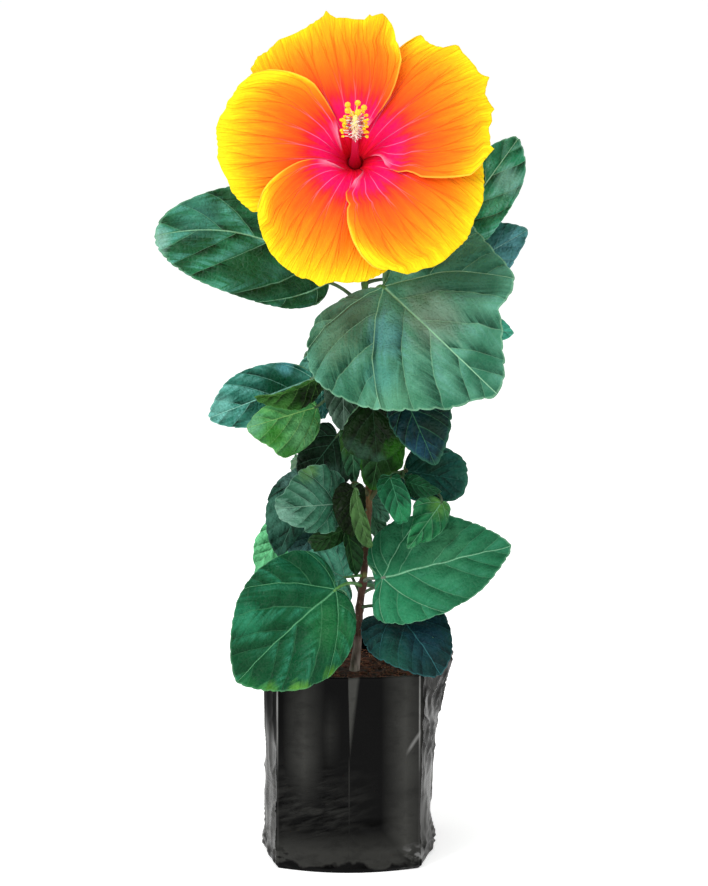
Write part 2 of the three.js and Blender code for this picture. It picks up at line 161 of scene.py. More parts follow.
def start_finish(name, roughness, **shader_inputs):
    """A new material, its shader, and the place on the piece that its patterns vary with"""
    finish = bpy.data.materials.new(name)
    finish.use_nodes = True
    shader = finish.node_tree.nodes["Principled BSDF"]
    shader.inputs["Roughness"].default_value = roughness
    for socket, value in shader_inputs.items():
        shader.inputs[socket.replace("_", " ")].default_value = value
    return finish, shader, make_node(finish.node_tree, "ShaderNodeTexCoord", out="Object")


def layered(colour, *layers):
    """A colour with others laid over it; each layer is its share and its colour"""
    for share, over in layers:
        colour = share.blend(colour, over)
    return colour


bpy.ops.mesh.primitive_plane_add(size=40)
floor = bpy.context.object
floor.name = "floor"
floor_finish, shader, place = start_finish(
    "floor_white", 0.8, Emission_Color=paint("#ffffff"), Emission_Strength=0.5
)
place.grain(3).blend("#f6f6f4", "#fafafa").feed(shader, "Base Color")
floor.data.materials.append(floor_finish)

room = bpy.data.worlds.new("studio")
bpy.context.scene.world = room
room.use_nodes = True
background = room.node_tree.nodes["Background"]
background.inputs["Color"].default_value = paint("#ffffff")
_, forward, upward = make_node(room.node_tree, "ShaderNodeTexCoord", out="Generated").parts()
brightness = upward.level(0.0, 0.7).over(forward.level(-0.9, -0.2))
brightness.level(0, 1, 0.2, 0.55).feed(background, "Strength")

lamps = {
    "lamp_left": {"stand": (-1.6, -1.5, 1.7), "size": (0.9, 1.5), "power": 34},
    "lamp_right": {"stand": (1.9, -0.7, 1.0), "size": (0.5, 1.6), "power": 10},
    "lamp_above": {"stand": (-0.2, -0.5, 2.3), "size": (1.2, 1.2), "power": 15},
}
for name, lamp in lamps.items():
    stand = Vector(lamp["stand"])
    turn = (aim - stand).to_track_quat("-Z", "Y").to_euler()
    bpy.ops.object.light_add(type="AREA", location=stand, rotation=turn)
    light = bpy.context.object
    light.name = name
    light.data.shape = "RECTANGLE"
    light.data.size, light.data.size_y = lamp["size"]
    light.data.energy = lamp["power"]

# Nursery bag
# A gusseted bag of thin black polythene. Its flat front and back panels stand between four pressed
# corner creases, and the filled side gussets belly out, most of all at the upper right. The film is
# one skin, bent round the bag's outline from a grid, with its creases and crumples worked in. Its
# sheen, glints and some of its shade are painted into the film's colour.

bag = {"height": 141, "panel": 50.5, "depth": 51, "bow": 5, "gusset": 9.5, "flare": 5, "film": 0.6}
bag_levels = {"heights": [0, 2.5, 9, 30, 112, 141], "widths": [0.975, 0.99, 0.995, 1, 1, 0.985]}
pleat = {"foot": 78, "left": 1, "lean": -1.4, "width": 9.1}
blisters = [(17, 32, 5), (31, 34, 6), (41, 33, 4)]  # across, up and reach
bottom_share = 0.08  # of the skin's rows
side_columns = 62


def shaped_grid(name, columns, rows, place):
    """A skin that place bends out of a grid: it turns shares across and up into millimetres"""
    bpy.ops.mesh.primitive_grid_add(x_subdivisions=columns, y_subdivisions=rows, size=2)
    piece = bpy.context.object
    piece.name = name
    flat = np.empty(len(piece.data.vertices) * 3)
    piece.data.vertices.foreach_get("co", flat)
    shares = (flat.reshape(-1, 3)[:, :2] + 1) / 2
    points = np.asarray(place(shares[:, 0], shares[:, 1])) * MM
    piece.data.vertices.foreach_set("co", points.ravel())
    piece.data.update()
    return piece


def close_skin(piece):
    """Joins the skin's edges where they meet, and smooths it"""
    bpy.ops.object.mode_set(mode="EDIT")
    bpy.ops.mesh.select_all(action="SELECT")
    bpy.ops.mesh.remove_doubles(threshold=0.00001)
    bpy.ops.object.mode_set(mode="OBJECT")
    bpy.ops.object.shade_smooth()


def thicken(piece, thickness, second_finish=0):
    """Gives a skin its thickness, below its face"""
    modifier = piece.modifiers.new("thickness", "SOLIDIFY")
    modifier.thickness = thickness * MM
    modifier.offset = -1
    modifier.material_offset = second_finish
    modifier.use_even_offset = False
    bpy.ops.object.modifier_apply(modifier=modifier.name)


def folds(points, size, power):
    """Sharp ridges in soft ground, from 0 to 1, for points in millimetres"""
    steps = [Vector(p) for p in points / np.asarray(size)]
    return (1 - np.abs([noise.noise(step) for step in steps])) ** power


def swell(points, size):
    """Soft waves from -1 to 1, for points in millimetres"""
    return np.array([noise.noise(Vector(p)) for p in points / np.asarray(size)])


def bag_ring(turn, height, width):
    """Points on the bag's outline: turn runs from 0 to 4, a side each"""
    side = np.minimum(np.floor(turn), 3).astype(int)
    t = 2 * (turn - side) - 1
    round_out = 1 - t**2
    across_gusset = side % 2 == 0
    x = np.where(across_gusset, bag["panel"] + bag["gusset"] * round_out, -bag["panel"] * t)
    y = np.where(across_gusset, bag["depth"] * t, bag["depth"] + bag["bow"] * round_out)
    sign = np.where(side < 2, 1, -1)
    x, y = x * sign, y * sign
    lean = (height / bag["height"]) ** 3 * (np.maximum(0, x) / bag["panel"]) ** 3
    flare = bag["flare"] * lean * (1 + 0.6 * y / bag["depth"])
    return np.stack([(x + flare) * width, y * width, height + 0 * x], axis=1)


def near(value, middle, reach):
    """1 at the middle, fading to nearly 0 at twice the reach"""
    return np.exp(-(((value - middle) / reach) ** 2))


def climb(value, start, span):
    """0 up to the start, 1 from a span further on, and even between them"""
    return np.clip((value - start) / span, 0, 1)


def bag_skin(across, up):
    s = 2 * (4 * across % 1) - 1
    s = s - 0.12 * np.sin(2 * np.pi * s)
    turn = np.minimum(np.floor(4 * across), 3) + (s + 1) / 2
    turn = np.where(np.isclose(across, 1), 4, turn)
    wall = climb(up, bottom_share, 1 - bottom_share)
    height = bag["height"] * (0.8 * wall + 0.2 * wall**2)
    width = np.interp(height, bag_levels["heights"], bag_levels["widths"])
    width = np.where(up < bottom_share, bag_levels["widths"][0] * up / bottom_share, width)
    points = bag_ring(turn, height, width)
    x, y, z = points.T
    out = points[:, :2] / np.maximum(np.hypot(x, y), 1)[:, None]
    corner = bag["panel"] * np.minimum(s + 1, 1 - s)
    front = climb(-y, 44, 5)
    right = climb(x, 47, 6)
    left = climb(-x, 47, 6)

    press = 0.7 * near(corner, 0, 1) - 0.4 * near(corner, 4, 2.5)
    rise = climb(z, pleat["foot"], bag["height"] - pleat["foot"])
    beyond = (x - pleat["left"] - pleat["lean"] * rise) / (pleat["width"] * rise + 0.01)
    pleat_push = np.where((beyond > 0) & (beyond < 1), 2.2 * rise * (1 - beyond), 0)
    pleat_push -= 0.5 * near(x, pleat["left"] - 0.6, 0.6) * (1 - rise)
    soft = 0.9 * swell(points, (45, 45, 60)) + 0.4 * swell(points + 90, (14, 14, 30))
    tilted = np.stack([x + 0.6 * z, y, z - 0.28 * x], axis=1)
    waves = folds(tilted + 30, (17, 30, 5), 7) + 0.6 * folds(tilted + 90, (8, 30, 3.2), 8)
    waves *= climb(swell(points + 200, (13, 30, 11)), -0.2, 0.3)
    waves_here = near(z, 42, 30) * np.clip((8 - x) / 20, 0.06, 1) * climb(z, 8, 8)
    bumps = sum(1.5 * near(x, bx, r) * near(z, bz, 0.6 * r) for bx, bz, r in blisters)
    slant = 1.6 * near(z - 83 - 1.6 * (x - 41), 0, 3.5) * climb(x, 38, 5) * near(z, 92, 12)
    push = press + front * (pleat_push + 1.3 * waves * waves_here + bumps + slant) + soft
    push += right * (3.2 * folds(points + 60, (14, 12, 17), 4) * near(z, 112, 36) - 0.3)
    push += (right + left) * 1.3 * folds(points + 10, (20, 16, 26), 5)
    push += right * climb(z, 92, 49) ** 2 * 7.5 * near(y, 4, 34)
    foot_creases = folds(points + 120, (15, 15, 10), 3)
    push += 3.4 * foot_creases * near(z, 10, 10) * climb(x, 24, 16)
    push += 2.2 * foot_creases * near(z, 8, 8) * climb(-x, 30, 14)
    push += 1.6 * folds(points + 150, (15, 15, 8), 3) * near(z, 4, 5)
    push = (push - 1.0) * climb(z, 0, 3)
    points[:, 1] -= 7 * (1 - (x / 54) ** 2) * near(z, 0, 24) * climb(-y, 15, 34)
    rim = near(z, bag["height"], 1.5)
    points[:, :2] += out * (push * (1 - 0.3 * rim))[:, None]
    points[:, 2] += rim * 0.8 * swell(points + 70, (22, 22, 400))
    return points


grow_bag = shaped_grid("grow_bag_film", columns=4 * side_columns, rows=150, place=bag_skin)
close_skin(grow_bag)
thicken(grow_bag, bag["film"])

film_finish, shader, place = start_finish("black_polythene", 0.24, IOR=1.5, Specular_IOR_Level=0.06)
sx, sy, sz = place.parts()

# Painted reflections: soft lighter bands down the front panel at the left, right and middle, and a lighter
# band near the foot
cloud = place.grain(30, 3).level(0.3, 0.7)
left_band = sx.hump(-31, 15) * sz.rises(40, 80) * cloud.level(0, 1, 0.45, 0.8)
right_band = sx.hump(40, 17) * cloud.level(0, 1, 0.45, 0.85)
middle_band = sx.hump(-13, 8) * sz.hump(100, 30) * 0.25
sheen_bands = left_band.over(right_band).over(middle_band).over(sz.rises(30, 14, 0.0, 0.5))

# Painted highlights on the slanting wrinkles low on the front's left; the same wrinkles also raise the
# surface below
tilted = place.node("ShaderNodeMapping", {"Vector": place, "Rotation": (0, 0.28, 0)})
creases = tilted.grain(52, 4, (1, 1, 4.5), 0.6)
creased = sz.hump(44, 42) * sx.rises(22, -12)
wrinkle_highlights = creases.level(0.42, 0.66) * creased * 0.34

# Painted highlight: a pale wedge down the pleat's upper part, and a thin pale line on its crease below
pleat_rise = (pleat["foot"], bag["height"])
wedge_start = sx - sz.rises(*pleat_rise, 0.001, -0.0004)
wedge_end = sz.rises(*pleat_rise, 0.0, 0.0088) - wedge_start
wedge = wedge_start.rises(0, 0.4) * wedge_end.rises(0, 2.5) * sz.rises(*pleat_rise, 0.55, 1)
pleat_line_highlight = sx.hump(0.4, 0.5) * sz.rises(84, 76) * sz.rises(24, 60, 0.15, 0.5)

# The painted sheen is broken up by noise and ends at a ragged line just above the foot, leaving a black
# scalloped rim
scallop = sz + place.grain(60, 3).level(0.35, 0.65, 0.002, -0.004)
sheen_grain = place.grain(70, 5, (1, 1, 2), 0.65).level(0.36, 0.5, 0.75, 1)
film_sheen = sheen_bands.over(wrinkle_highlights).over(wedge).over(pleat_line_highlight) * scallop.rises(3, 5) * sheen_grain
# Painted highlight along the four corner creases, strongest towards the rim
crease = abs(sx).hump(49.7, 0.8) * sz.rises(70, 118, 0.05, 1) * cloud.level(0, 1, 0.3, 1)
# Painted highlight on a slanting fold low on the front's right
slanting_fold = (sz - sx * 1.5).hump(24.5, 3) * sx.rises(40, 44) * sx.rises(51, 49.5) * 0.6
front_tone = layered("#040404", (film_sheen, "#444441"), (crease, "#b0b0ae"), (slanting_fold, "#8a8a88"))

mottle = place.grain(60, 4, (1, 1, 0.35)).level(0.4, 0.7)
# Painted sheen: the gussets lighter in their lower part
low_sheen = sz.rises(92, 58) * cloud.level(0, 1, 0.6, 1)
# Painted glints: pale streaks high on the right gusset, towards its front
streaks = place.grain(70, 3, (1, 1, 0.3)).level(0.56, 0.66)
streaks = streaks * sz.rises(84, 104) * sx.rises(0, 10) * sy.rises(10, -20, 0, 0.4)
# Painted shade at the top of the left gusset
dark_top = sz.rises(92, 108) * sx.rises(0, -10) * 0.7
# Painted highlight on the bulge of the right gusset, towards its front
shoulder = sz.hump(90, 7) * sx.rises(50, 56) * sy.rises(10, -25) * cloud.level(0, 1, 0.05, 0.4)
side_tone = layered(
    "#060606", (mottle, "#222220"), (low_sheen, "#363634"), (streaks, "#b8b8b8"),
    (dark_top, "#080808"), (shoulder, "#8a8a8a"),
)

# At the foot corners, painted shade in the crumples' hollows and painted glints on their crests, the glints
# mostly at the right
crumple = place.grain(95, 3, (1, 1, 1.6))
at_corners = abs(sx).rises(34, 44) * sz.hump(9, 11)
glints = crumple.level(0.52, 0.6) * at_corners * sx.rises(-20, 30) * abs(sy).rises(20, 40, 0.1, 0.45)
hollows = crumple.level(0.48, 0.42) * at_corners
at_front = sy.rises(-44, -49)
film_tone = layered(side_tone, (at_front, front_tone), (hollows, "#030303"), (glints, "#a0a0a0"))
film_tone.feed(shader, "Base Color")

dull = sz.rises(88, 106) * sx.rises(-38, -50) * 0.5
(dull + place.grain(25, 4).level(0.35, 0.7, 0.2, 0.36)).feed(shader, "Roughness")
ripples = place.grain(120, 3, (1, 1, 0.4)) * 0.3
(ripples + creases * creased).raise_surface(shader, 0.0016)
grow_bag.data.materials.append(film_finish)
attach(grow_bag, "root")
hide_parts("grow_bag")

# Compost
# Moist coir and bark that fills the bag to a finger's width under its rim. Its top is a rough skin,
# and loose crumbs and fibres lie on it.

ground = 129.7
compost_gaps = {"rim": 2.4, "foot": 5.5}  # between compost and film
top_share = 0.72  # of the skin's rows; bottom_share of them are its underside
stem_foot = 4.5  # how far right of the middle the stem stands
scatter_count = 1500
fibre_every = 6  # of the scattered bits, one in so many is a fibre
clear_of_stem = 5.5


def compost_skin(across, up):
    top = climb(up, 0, top_share)
    side = climb(up, top_share, 0.2)
    below = climb(up, 1 - bottom_share, bottom_share)
    height = ground - 1.5 * top**3 - side * (ground - 12)
    width = np.interp(height, bag_levels["heights"], bag_levels["widths"])
    points = bag_ring(4 * (1 - across), height, width * top * (1 - below))
    inwards = compost_gaps["rim"] + (compost_gaps["foot"] - compost_gaps["rim"]) * side
    inwards = inwards * top * (1 - below)
    points[:, :2] *= (1 - inwards / np.maximum(np.hypot(*points[:, :2].T), 3))[:, None]
    rough = 1.6 * folds(points, (5, 5, 5), 1.5) + 1.5 * swell(points + 40, (17, 17, 17)) - 1.4
    rough += 0.8 * swell(points + 20, (2.2, 2.2, 2.2))
    foot = near(np.hypot(points[:, 0] - stem_foot, points[:, 1]), 0, 9)
    points[:, 2] += np.where(up < top_share, rough * (1 - foot) + 0.3 * foot, 0)
    return points


compost = shaped_grid("compost_fill", columns=150, rows=110, place=compost_skin)
close_skin(compost)


def scatter(name, shape, places):
    """One mesh of many copies of a small shape, each at its own place, turn and size"""
    corners, faces = shape
    points = [place @ corner for place in places for corner in corners]
    step = len(corners)
    sides = [[i + n * step for i in face] for n in range(len(places)) for face in faces]
    mesh = bpy.data.meshes.new(name)
    mesh.from_pydata([p * MM for p in points], [], sides)
    piece = bpy.data.objects.new(name, mesh)
    bpy.context.collection.objects.link(piece)
    return piece


def template(make, **settings):
    """The corners and faces of a primitive, for scattering"""
    make(**settings)
    start = bpy.context.object
    corners = [v.co.copy() for v in start.data.vertices]
    faces = [list(f.vertices) for f in start.data.polygons]
    bpy.data.objects.remove(start)
    return corners, faces


random.seed(4)
crumb_places = []
fibre_places = []
for number in range(scatter_count):
    spin = Matrix.Rotation(random.uniform(0, 2 * math.pi), 4, Vector((0, 0, 1)))
    tip = Matrix.Rotation(random.uniform(-0.5, 0.5), 4, Vector((1, 0.3, 0)))
    turn = random.uniform(0, 4)
    share = math.sqrt(random.uniform(0.02, 0.95))
    x, y, _ = bag_ring(np.array([turn]), np.array([ground]), np.array([share * 0.94]))[0]
    if math.hypot(x - stem_foot, y) < clear_of_stem:
        continue
    lift = ground + random.uniform(-1.3, 0.6)
    if number % fibre_every:
        big = random.uniform(0.5, 1.0) ** 2 * 1.9
        size = Matrix.Diagonal((big * random.uniform(0.8, 1.6), big, big * random.uniform(0.5, 0.9), 1))
        crumb_places.append(Matrix.Translation((x, y, lift)) @ spin @ tip @ size)
    else:
        size = Matrix.Diagonal((random.uniform(2, 5), 0.18, 0.18, 1))
        fibre_places.append(Matrix.Translation((x, y, lift + 0.9)) @ spin @ tip @ size)
crumb_shape = template(bpy.ops.mesh.primitive_ico_sphere_add, subdivisions=1, radius=1)
fibre_shape = template(bpy.ops.mesh.primitive_cube_add, size=2)
crumbs = scatter("compost_crumbs", crumb_shape, crumb_places)
fibres = scatter("compost_fibres", fibre_shape, fibre_places)


def compost_finish(name, dark, brown, light):
    finish, shader, place = start_finish(name, 0.95)
    tone = place.grain(160, 4).level(0.35, 0.65).blend(dark, brown)
    flecks = place.grain(520, 3).level(0.58, 0.72)
    flecks.blend(tone, light).feed(shader, "Base Color")
    place.grain(700, 4).raise_surface(shader, 0.0006)
    return finish


compost.data.materials.append(compost_finish("coir_ground", "#1c0f0a", "#4a2a1c", "#7a4a34"))
crumbs.data.materials.append(compost_finish("coir_crumbs", "#2e1a12", "#6a3a26", "#99624a"))
fibres.data.materials.append(compost_finish("coir_fibres", "#5a3422", "#8a5c40", "#b08a68"))
for piece in (compost, crumbs, fibres):
    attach(piece, "root")
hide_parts("compost")

# Main stem
# One young woody stem that leans a little to the right. It flares at the compost, has raised rings
# where old leaves fell, swells where each stalk springs, and turns from grey bark to green above.

stem_top = (11.5, 4, 430)
stem_points = [
    (3.5, 0, 124), (5, 0, 138), (7, 0, 158), (8, 0, 178), (10.5, 0, 197), (12, 0, 218),
    (14, 0, 250), (14.5, 1, 290), (13.5, 2, 345), (11.5, 1, 398), stem_top,
]
# Shares of the stem's length, where stalks spring and where old leaves left their scars
stalk_joints = [0.17, 0.222, 0.232, 0.31, 0.345, 0.4, 0.45, 0.56, 0.64, 0.7, 0.76, 0.86, 0.93]
old_scars = [0.108, 0.163, 0.28, 0.5]


def smooth_path(points, count=400):
    """Points along a smooth curve through the given ones, at even distances"""
    given = [Vector(p) for p in points]
    given = [2 * given[0] - given[1]] + given + [2 * given[-1] - given[-2]]
    path = []
    for a, b, c, d in zip(given, given[1:], given[2:], given[3:]):
        gaps = [max((q - p).length, 1e-4) ** 0.5 for p, q in ((a, b), (b, c), (c, d))]
        start = (b - a) / gaps[0] - (c - a) / (gaps[0] + gaps[1]) + (c - b) / gaps[1]
        end = (c - b) / gaps[1] - (d - b) / (gaps[1] + gaps[2]) + (d - c) / gaps[2]
        start, end = start * gaps[1], end * gaps[1]
        for t in np.arange(24) / 24:
            bend = b * (2 * t**3 - 3 * t**2 + 1) + start * (t**3 - 2 * t**2 + t)
            path.append(bend + c * (3 * t**2 - 2 * t**3) + end * (t**3 - t**2))
    path.append(given[-2])
    return even_steps(path, count)


def bezier_path(points, count=60):
    """Points along a quadratic or cubic Bezier curve, at even distances"""
    given = [Vector(p) for p in points]
    order = len(given) - 1
    path = []
    for i in range(count + 1):
        t = i / count
        weights = [math.comb(order, k) * t**k * (1 - t) ** (order - k) for k in range(order + 1)]
        path.append(sum((w * p for w, p in zip(weights, given)), Vector()))
    return even_steps(path, count)


def even_steps(path, count):
    places = np.array(path)
    lengths = np.concatenate([[0], np.cumsum(np.linalg.norm(np.diff(places, axis=0), axis=1))])
    wanted = np.linspace(0, lengths[-1], count + 1)
    return np.stack([np.interp(wanted, lengths, places[:, k]) for k in range(3)], axis=1)


def on_path(path, share):
    """The point at a share of a path's length"""
    at = np.linspace(0, 1, len(path))
    return Vector([np.interp(share, at, path[:, k]) for k in range(3)])


def limb(name, path, radius_at, sides, rings, rough=0.0):
    """A round limb along a path, closed at both ends, with its surface roughened"""
    shares = np.concatenate([[0], np.linspace(0, 1, rings - 1), [1]])
    centres = np.array([on_path(path, share) for share in shares])
    radii = np.array([radius_at(share) for share in shares])
    radii[[0, -1]] = 0
    ways = np.gradient(np.array([on_path(path, s) for s in np.linspace(0, 1, rings - 1)]), axis=0)
    ways = np.concatenate([ways[:1], ways, ways[-1:]])
    ways /= np.linalg.norm(ways, axis=1)[:, None]
    side = Vector(ways[0]).orthogonal().normalized()
    outs = []
    for way in ways:
        side = (side - side.dot(Vector(way)) * Vector(way)).normalized()
        outs.append(side.copy())
    outs = np.array(outs)
    crosses = np.cross(ways, outs)

    def place(across, up):
        ring = np.rint(up * rings).astype(int)
        turn = 2 * np.pi * across
        out = outs[ring] * np.cos(turn)[:, None] + crosses[ring] * np.sin(turn)[:, None]
        surface = centres[ring] + out * radii[ring][:, None]
        lumps = rough * swell(surface, (1.6, 1.6, 3.5)) * np.clip(radii[ring], 0, 1)
        return surface + out * lumps[:, None]

    piece = shaped_grid(name, sides, rings, place)
    close_skin(piece)
    return piece


def stem_radius(t):
    foot = 1.5 * math.exp(-t / 0.06)
    joints = sum(0.45 * near(t, joint, 0.007) for joint in stalk_joints)
    scars = sum(0.3 * near(t, scar, 0.004) for scar in old_scars)
    return 2.7 - 0.5 * t + foot + joints + scars


stem_path = smooth_path(stem_points)
main_stem = limb("stem", stem_path, stem_radius, sides=24, rings=300, rough=0.22)


def bark_finish(name, stops):
    """Bark that changes with height: stops are heights in millimetres and their colours"""
    finish, shader, place = start_finish(name, 0.62, Specular_IOR_Level=0.2)
    height = place.parts()[2]
    low, high = stops[0][0] * MM, stops[-1][0] * MM
    waver = 0.02
    shifted = place.grain(60, 3).maths("MULTIPLY_ADD", waver, height)
    share = shifted.level(low + waver / 2, high + waver / 2)
    tone = share.ramp([((at * MM - low) / (high - low), code) for at, code in stops])
    streaks = place.grain(420, 4, (1, 1, 0.2)).level(0.35, 0.7)
    pores = place.grain(900, 2, (1, 1, 0.6)).level(0.66, 0.74)
    tone = layered(tone, (streaks.level(0, 1, 0.0, 0.75), "#20100a"), (pores, "#a08a78"))
    tone.feed(shader, "Base Color")
    streaks.raise_surface(shader, 0.0004)
    return finish


stem_colours = [
    (130, "#b8aaa2"), (152, "#a8948c"), (158, "#5e4034"), (196, "#64443a"), (199, "#8a8a50"),
    (204, "#52342a"), (238, "#5c4428"), (285, "#7c6038"), (320, "#4f6034"), (430, "#4a7a3c"),
]
main_stem.data.materials.append(bark_finish("young_bark", stem_colours))
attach(main_stem, "root")
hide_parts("main_stem")

# Side shoots
# Four short shoots that leave the main stem and carry the leaves around it.

shoots = {
    "shoot_left_upper": [(14, 0, 300), (5, -3, 313), (-7, -6, 327), (-18, -8, 338)],
    "shoot_left_lower": [(14, 0, 258), (9, -9, 266), (4, -18, 271), (2, -24, 270)],
    "shoot_right": [(14, 0, 254), (23, -4, 267), (32, -6, 274), (41, -4, 277)],
    "shoot_back": [(14, 1, 276), (14.5, 9, 289), (13.5, 16, 299), (12, 21, 308)],
}
shoot_finish = bark_finish("green_bark", [(250, "#4a4a2c"), (275, "#54603a"), (340, "#4c7038")])
limb_paths = {"main_stem": stem_path}
for name, points in shoots.items():
    limb_paths[name] = smooth_path(points, 80)
    shoot = limb(
        name + "_bark", limb_paths[name], lambda t: 1.9 - 0.5 * t, sides=14, rings=36, rough=0.15
    )
    shoot.data.materials.append(shoot_finish)
    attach(shoot, "root")
    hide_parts(name)

# Leaves
# A heart-shaped blade with a toothed margin, on a thin stalk. Main veins fan out from where the
# stalk meets the blade, finer ones branch off them and arch forward, and the blade is quilted
# between them. The blade is a fan-shaped grid bent to its own arch, fold and waves. Its colour
# carries painted sheen beside the side veins, painted shade in the hollows between them, and spots
# of painted light and shade.

to_front = (0, -0.97, 0.22)
fan = [0, math.radians(42), math.radians(96), math.pi]  # where the main veins leave the midrib's line
last_branching = math.radians(55)
side_veins = 4.6
vein_arch = 0.42
blade_thickness = 0.5
column_gap = 1.7  # of the blade's grid, along its edge
row_gap = 2.6


def leaf_frame(leaf):
    base = Vector(leaf["base"])
    along = Vector(leaf["tip"]) - base
    length = along.length
    along.normalize()
    up = Vector(leaf.get("face", to_front))
    up = (up - up.dot(along) * along).normalized()
    return base, along, up, up.cross(along), length


def blade_outline(leaf, length, angle):
    """The blade's edge laid flat, for each angle round the stalk's end"""
    lobe, broad = leaf.get("lobe", 0.2), leaf.get("broad", 0.27)
    cos, sin = np.cos(angle), np.abs(np.sin(angle))
    left, right = leaf["halves"]
    half = np.where(np.sin(angle) >= 0, left, right)
    share = sin ** (1 + 0.175 * (1 + cos)) * (1 - broad * cos) / (1 + broad**2 / 2)
    notch = np.where(cos < 0, (lobe - 0.03) * near(share, 0, 0.4), 0)
    x = length * ((1 - lobe) / 2 + (1 + lobe) / 2 * cos + notch)
    return x, np.where(np.sin(angle) >= 0, 1, -1) * half * share


def blade_columns(leaf, length):
    """Angles that stand evenly along the edge, with one on each main vein, and the edge's length"""
    dense = np.linspace(-np.pi, np.pi, 2881)
    x, y = blade_outline(leaf, length, dense)
    run = np.concatenate([[0], np.cumsum(np.hypot(np.diff(x), np.diff(y)))])
    count = int(np.clip(run[-1] / column_gap, 56, 280))
    angles = np.interp(np.linspace(0, run[-1], count + 1), run, dense)
    seen = np.arctan2(y, x)
    for vein in fan[:3]:
        for side in (-1, 1):
            exact = np.interp(side * vein, seen[1:-1], dense[1:-1])
            angles[np.argmin(np.abs(angles - exact))] = exact
    return angles, np.interp(angles, dense, run), run[-1]


def between_veins(theta):
    """The number of the main vein that comes before an angle from the midrib"""
    return np.searchsorted(fan[1:3], np.abs(theta))


def vein_lines(r, theta, sector, side, length):
    """How far each point is along the side veins, in vein spacings, and from a main vein, in mm"""
    start = np.array(fan)[sector]
    end = np.where(sector < 2, np.array(fan + [0])[sector + 1], start + last_branching)
    branch = r * np.sin(end - theta) / np.sin(end - start)
    depth = r * np.sin(np.clip(theta - start, 0, np.pi / 2))
    branch = branch * (1 - 0.8 * depth / length)
    spacing = length / side_veins
    branch = branch / spacing * np.where(sector == 0, 1, 1.2) + np.where(side > 0, 0.35, 0.0)
    branch = branch + 0.13 * np.sin(2.3 * branch + length)
    beside = [
        (1 if v == 0 else 1.6) * np.where(np.abs(theta - v) < 1.5, r * np.abs(np.sin(theta - v)), r)
        for v in fan[:3]
    ]
    return branch, np.min(beside, axis=0)


def leaf_blade(name, leaf):
    base, along, up, across, length = leaf_frame(leaf)
    angles, run, edge = blade_columns(leaf, length)
    count = len(angles) - 1
    rows = int(np.clip(length / row_gap, 12, 40))
    tooth, bite = leaf.get("teeth", (6.5, 1.5))
    teeth = max(1, round(edge / tooth))
    quilt = leaf.get("quilt", 0.034 * length)
    rumple = leaf.get("rumple", 0.032 * length)
    height, waves, phase = leaf.get("wave", (1.5, 5, 0))

    def flat(column, reach):
        angle = angles[column]
        x, y = blade_outline(leaf, length, angle)
        saw = (run[column] / edge * teeth * np.where(angle < 0, 1, -1) + 0.2 * np.sin(5 * angle)) % 1
        cut = bite * (1 - saw**0.6 * (1 - saw) ** 0.35 * 1.6) * climb(reach, 0.8, 0.2) ** 2
        for at, depth, width in leaf.get("dents", ()):
            cut = cut + depth * near(np.degrees(angle), at, width) * np.sqrt(reach)
        shrink = 1 - cut / np.maximum(np.hypot(x, y), 4)
        return x * reach * shrink, y * reach * shrink, angle

    def place(u, v):
        column = count - np.rint(u * count).astype(int)
        x, y, angle = flat(column, v)
        r, theta = np.hypot(x, y), np.arctan2(y, x)
        side = np.where(theta >= 0, 1, -1)
        sector = between_veins(theta)
        branch, beside = vein_lines(r, np.abs(theta), sector, side, length)
        rungs = np.abs(np.sin(np.pi * (7 * r / length + 0.4 * np.sin(3 * branch))))
        panels = np.abs(np.sin(np.pi * branch)) ** 0.7 * (1 - np.exp(-beside / (0.05 * length)))
        relief_mm = quilt * (panels * (0.6 + 0.4 * rungs) * (1 - 0.5 * v**5) - 0.5)
        spread = np.stack([x, y, np.full(len(x), length + 9 * phase)], axis=1)
        relief_mm += rumple * (folds(spread, (0.2 * length,) * 3, 2.5) - 0.5)
        relief_mm -= 0.4 * near(beside, 0, 1.3) * (1 - 0.6 * r / length)
        theta = theta + vein_arch * np.sin(theta) * (1 - v)
        x, y = r * np.cos(theta), r * np.sin(theta)
        half = np.where(side > 0, leaf["halves"][0], leaf["halves"][1])
        share = x / length
        lift = leaf.get("arch", 5) * 4 * share * (1 - share)
        lift += leaf.get("fold", 0.12) * (np.hypot(y, 0.15 * half) - 0.15 * half)
        lift += height * v**2 * np.sin(waves * angle + phase)
        lift += relief_mm * np.clip(r / 6, 0, 1)
        y = y + leaf.get("bow", 0) * 4 * share * (1 - share)
        spots = np.outer(x, along) + np.outer(y, across) + np.outer(lift, up)
        return spots + np.array(base)

    piece = shaped_grid(name, count, rows, place)
    layer = piece.data.uv_layers[0]
    layer.name = "blade"
    corners = np.empty(len(piece.data.loops) * 2)
    layer.data.foreach_get("uv", corners)
    u, v = corners.reshape(-1, 2).T
    middle = np.repeat(u.reshape(-1, 4).mean(axis=1), 4)
    column = count - np.rint(u * count).astype(int)
    x, y, _ = flat(column, v)
    middle_angle = np.interp((1 - middle) * count, np.arange(count + 1), angles)
    mx, my = blade_outline(leaf, length, middle_angle)
    sector = between_veins(np.arctan2(my, mx))
    theta = np.abs(np.arctan2(y, x))
    branch, beside = vein_lines(np.hypot(x, y), theta, sector, np.sign(my), length)
    thin = 1 - 0.55 * np.clip(np.hypot(x, y) / length, 0, 1)
    veins = piece.data.uv_layers.new(name="veins")
    veins.data.foreach_set("uv", np.stack([branch, beside / thin], axis=1).ravel())
    close_skin(piece)
    return piece


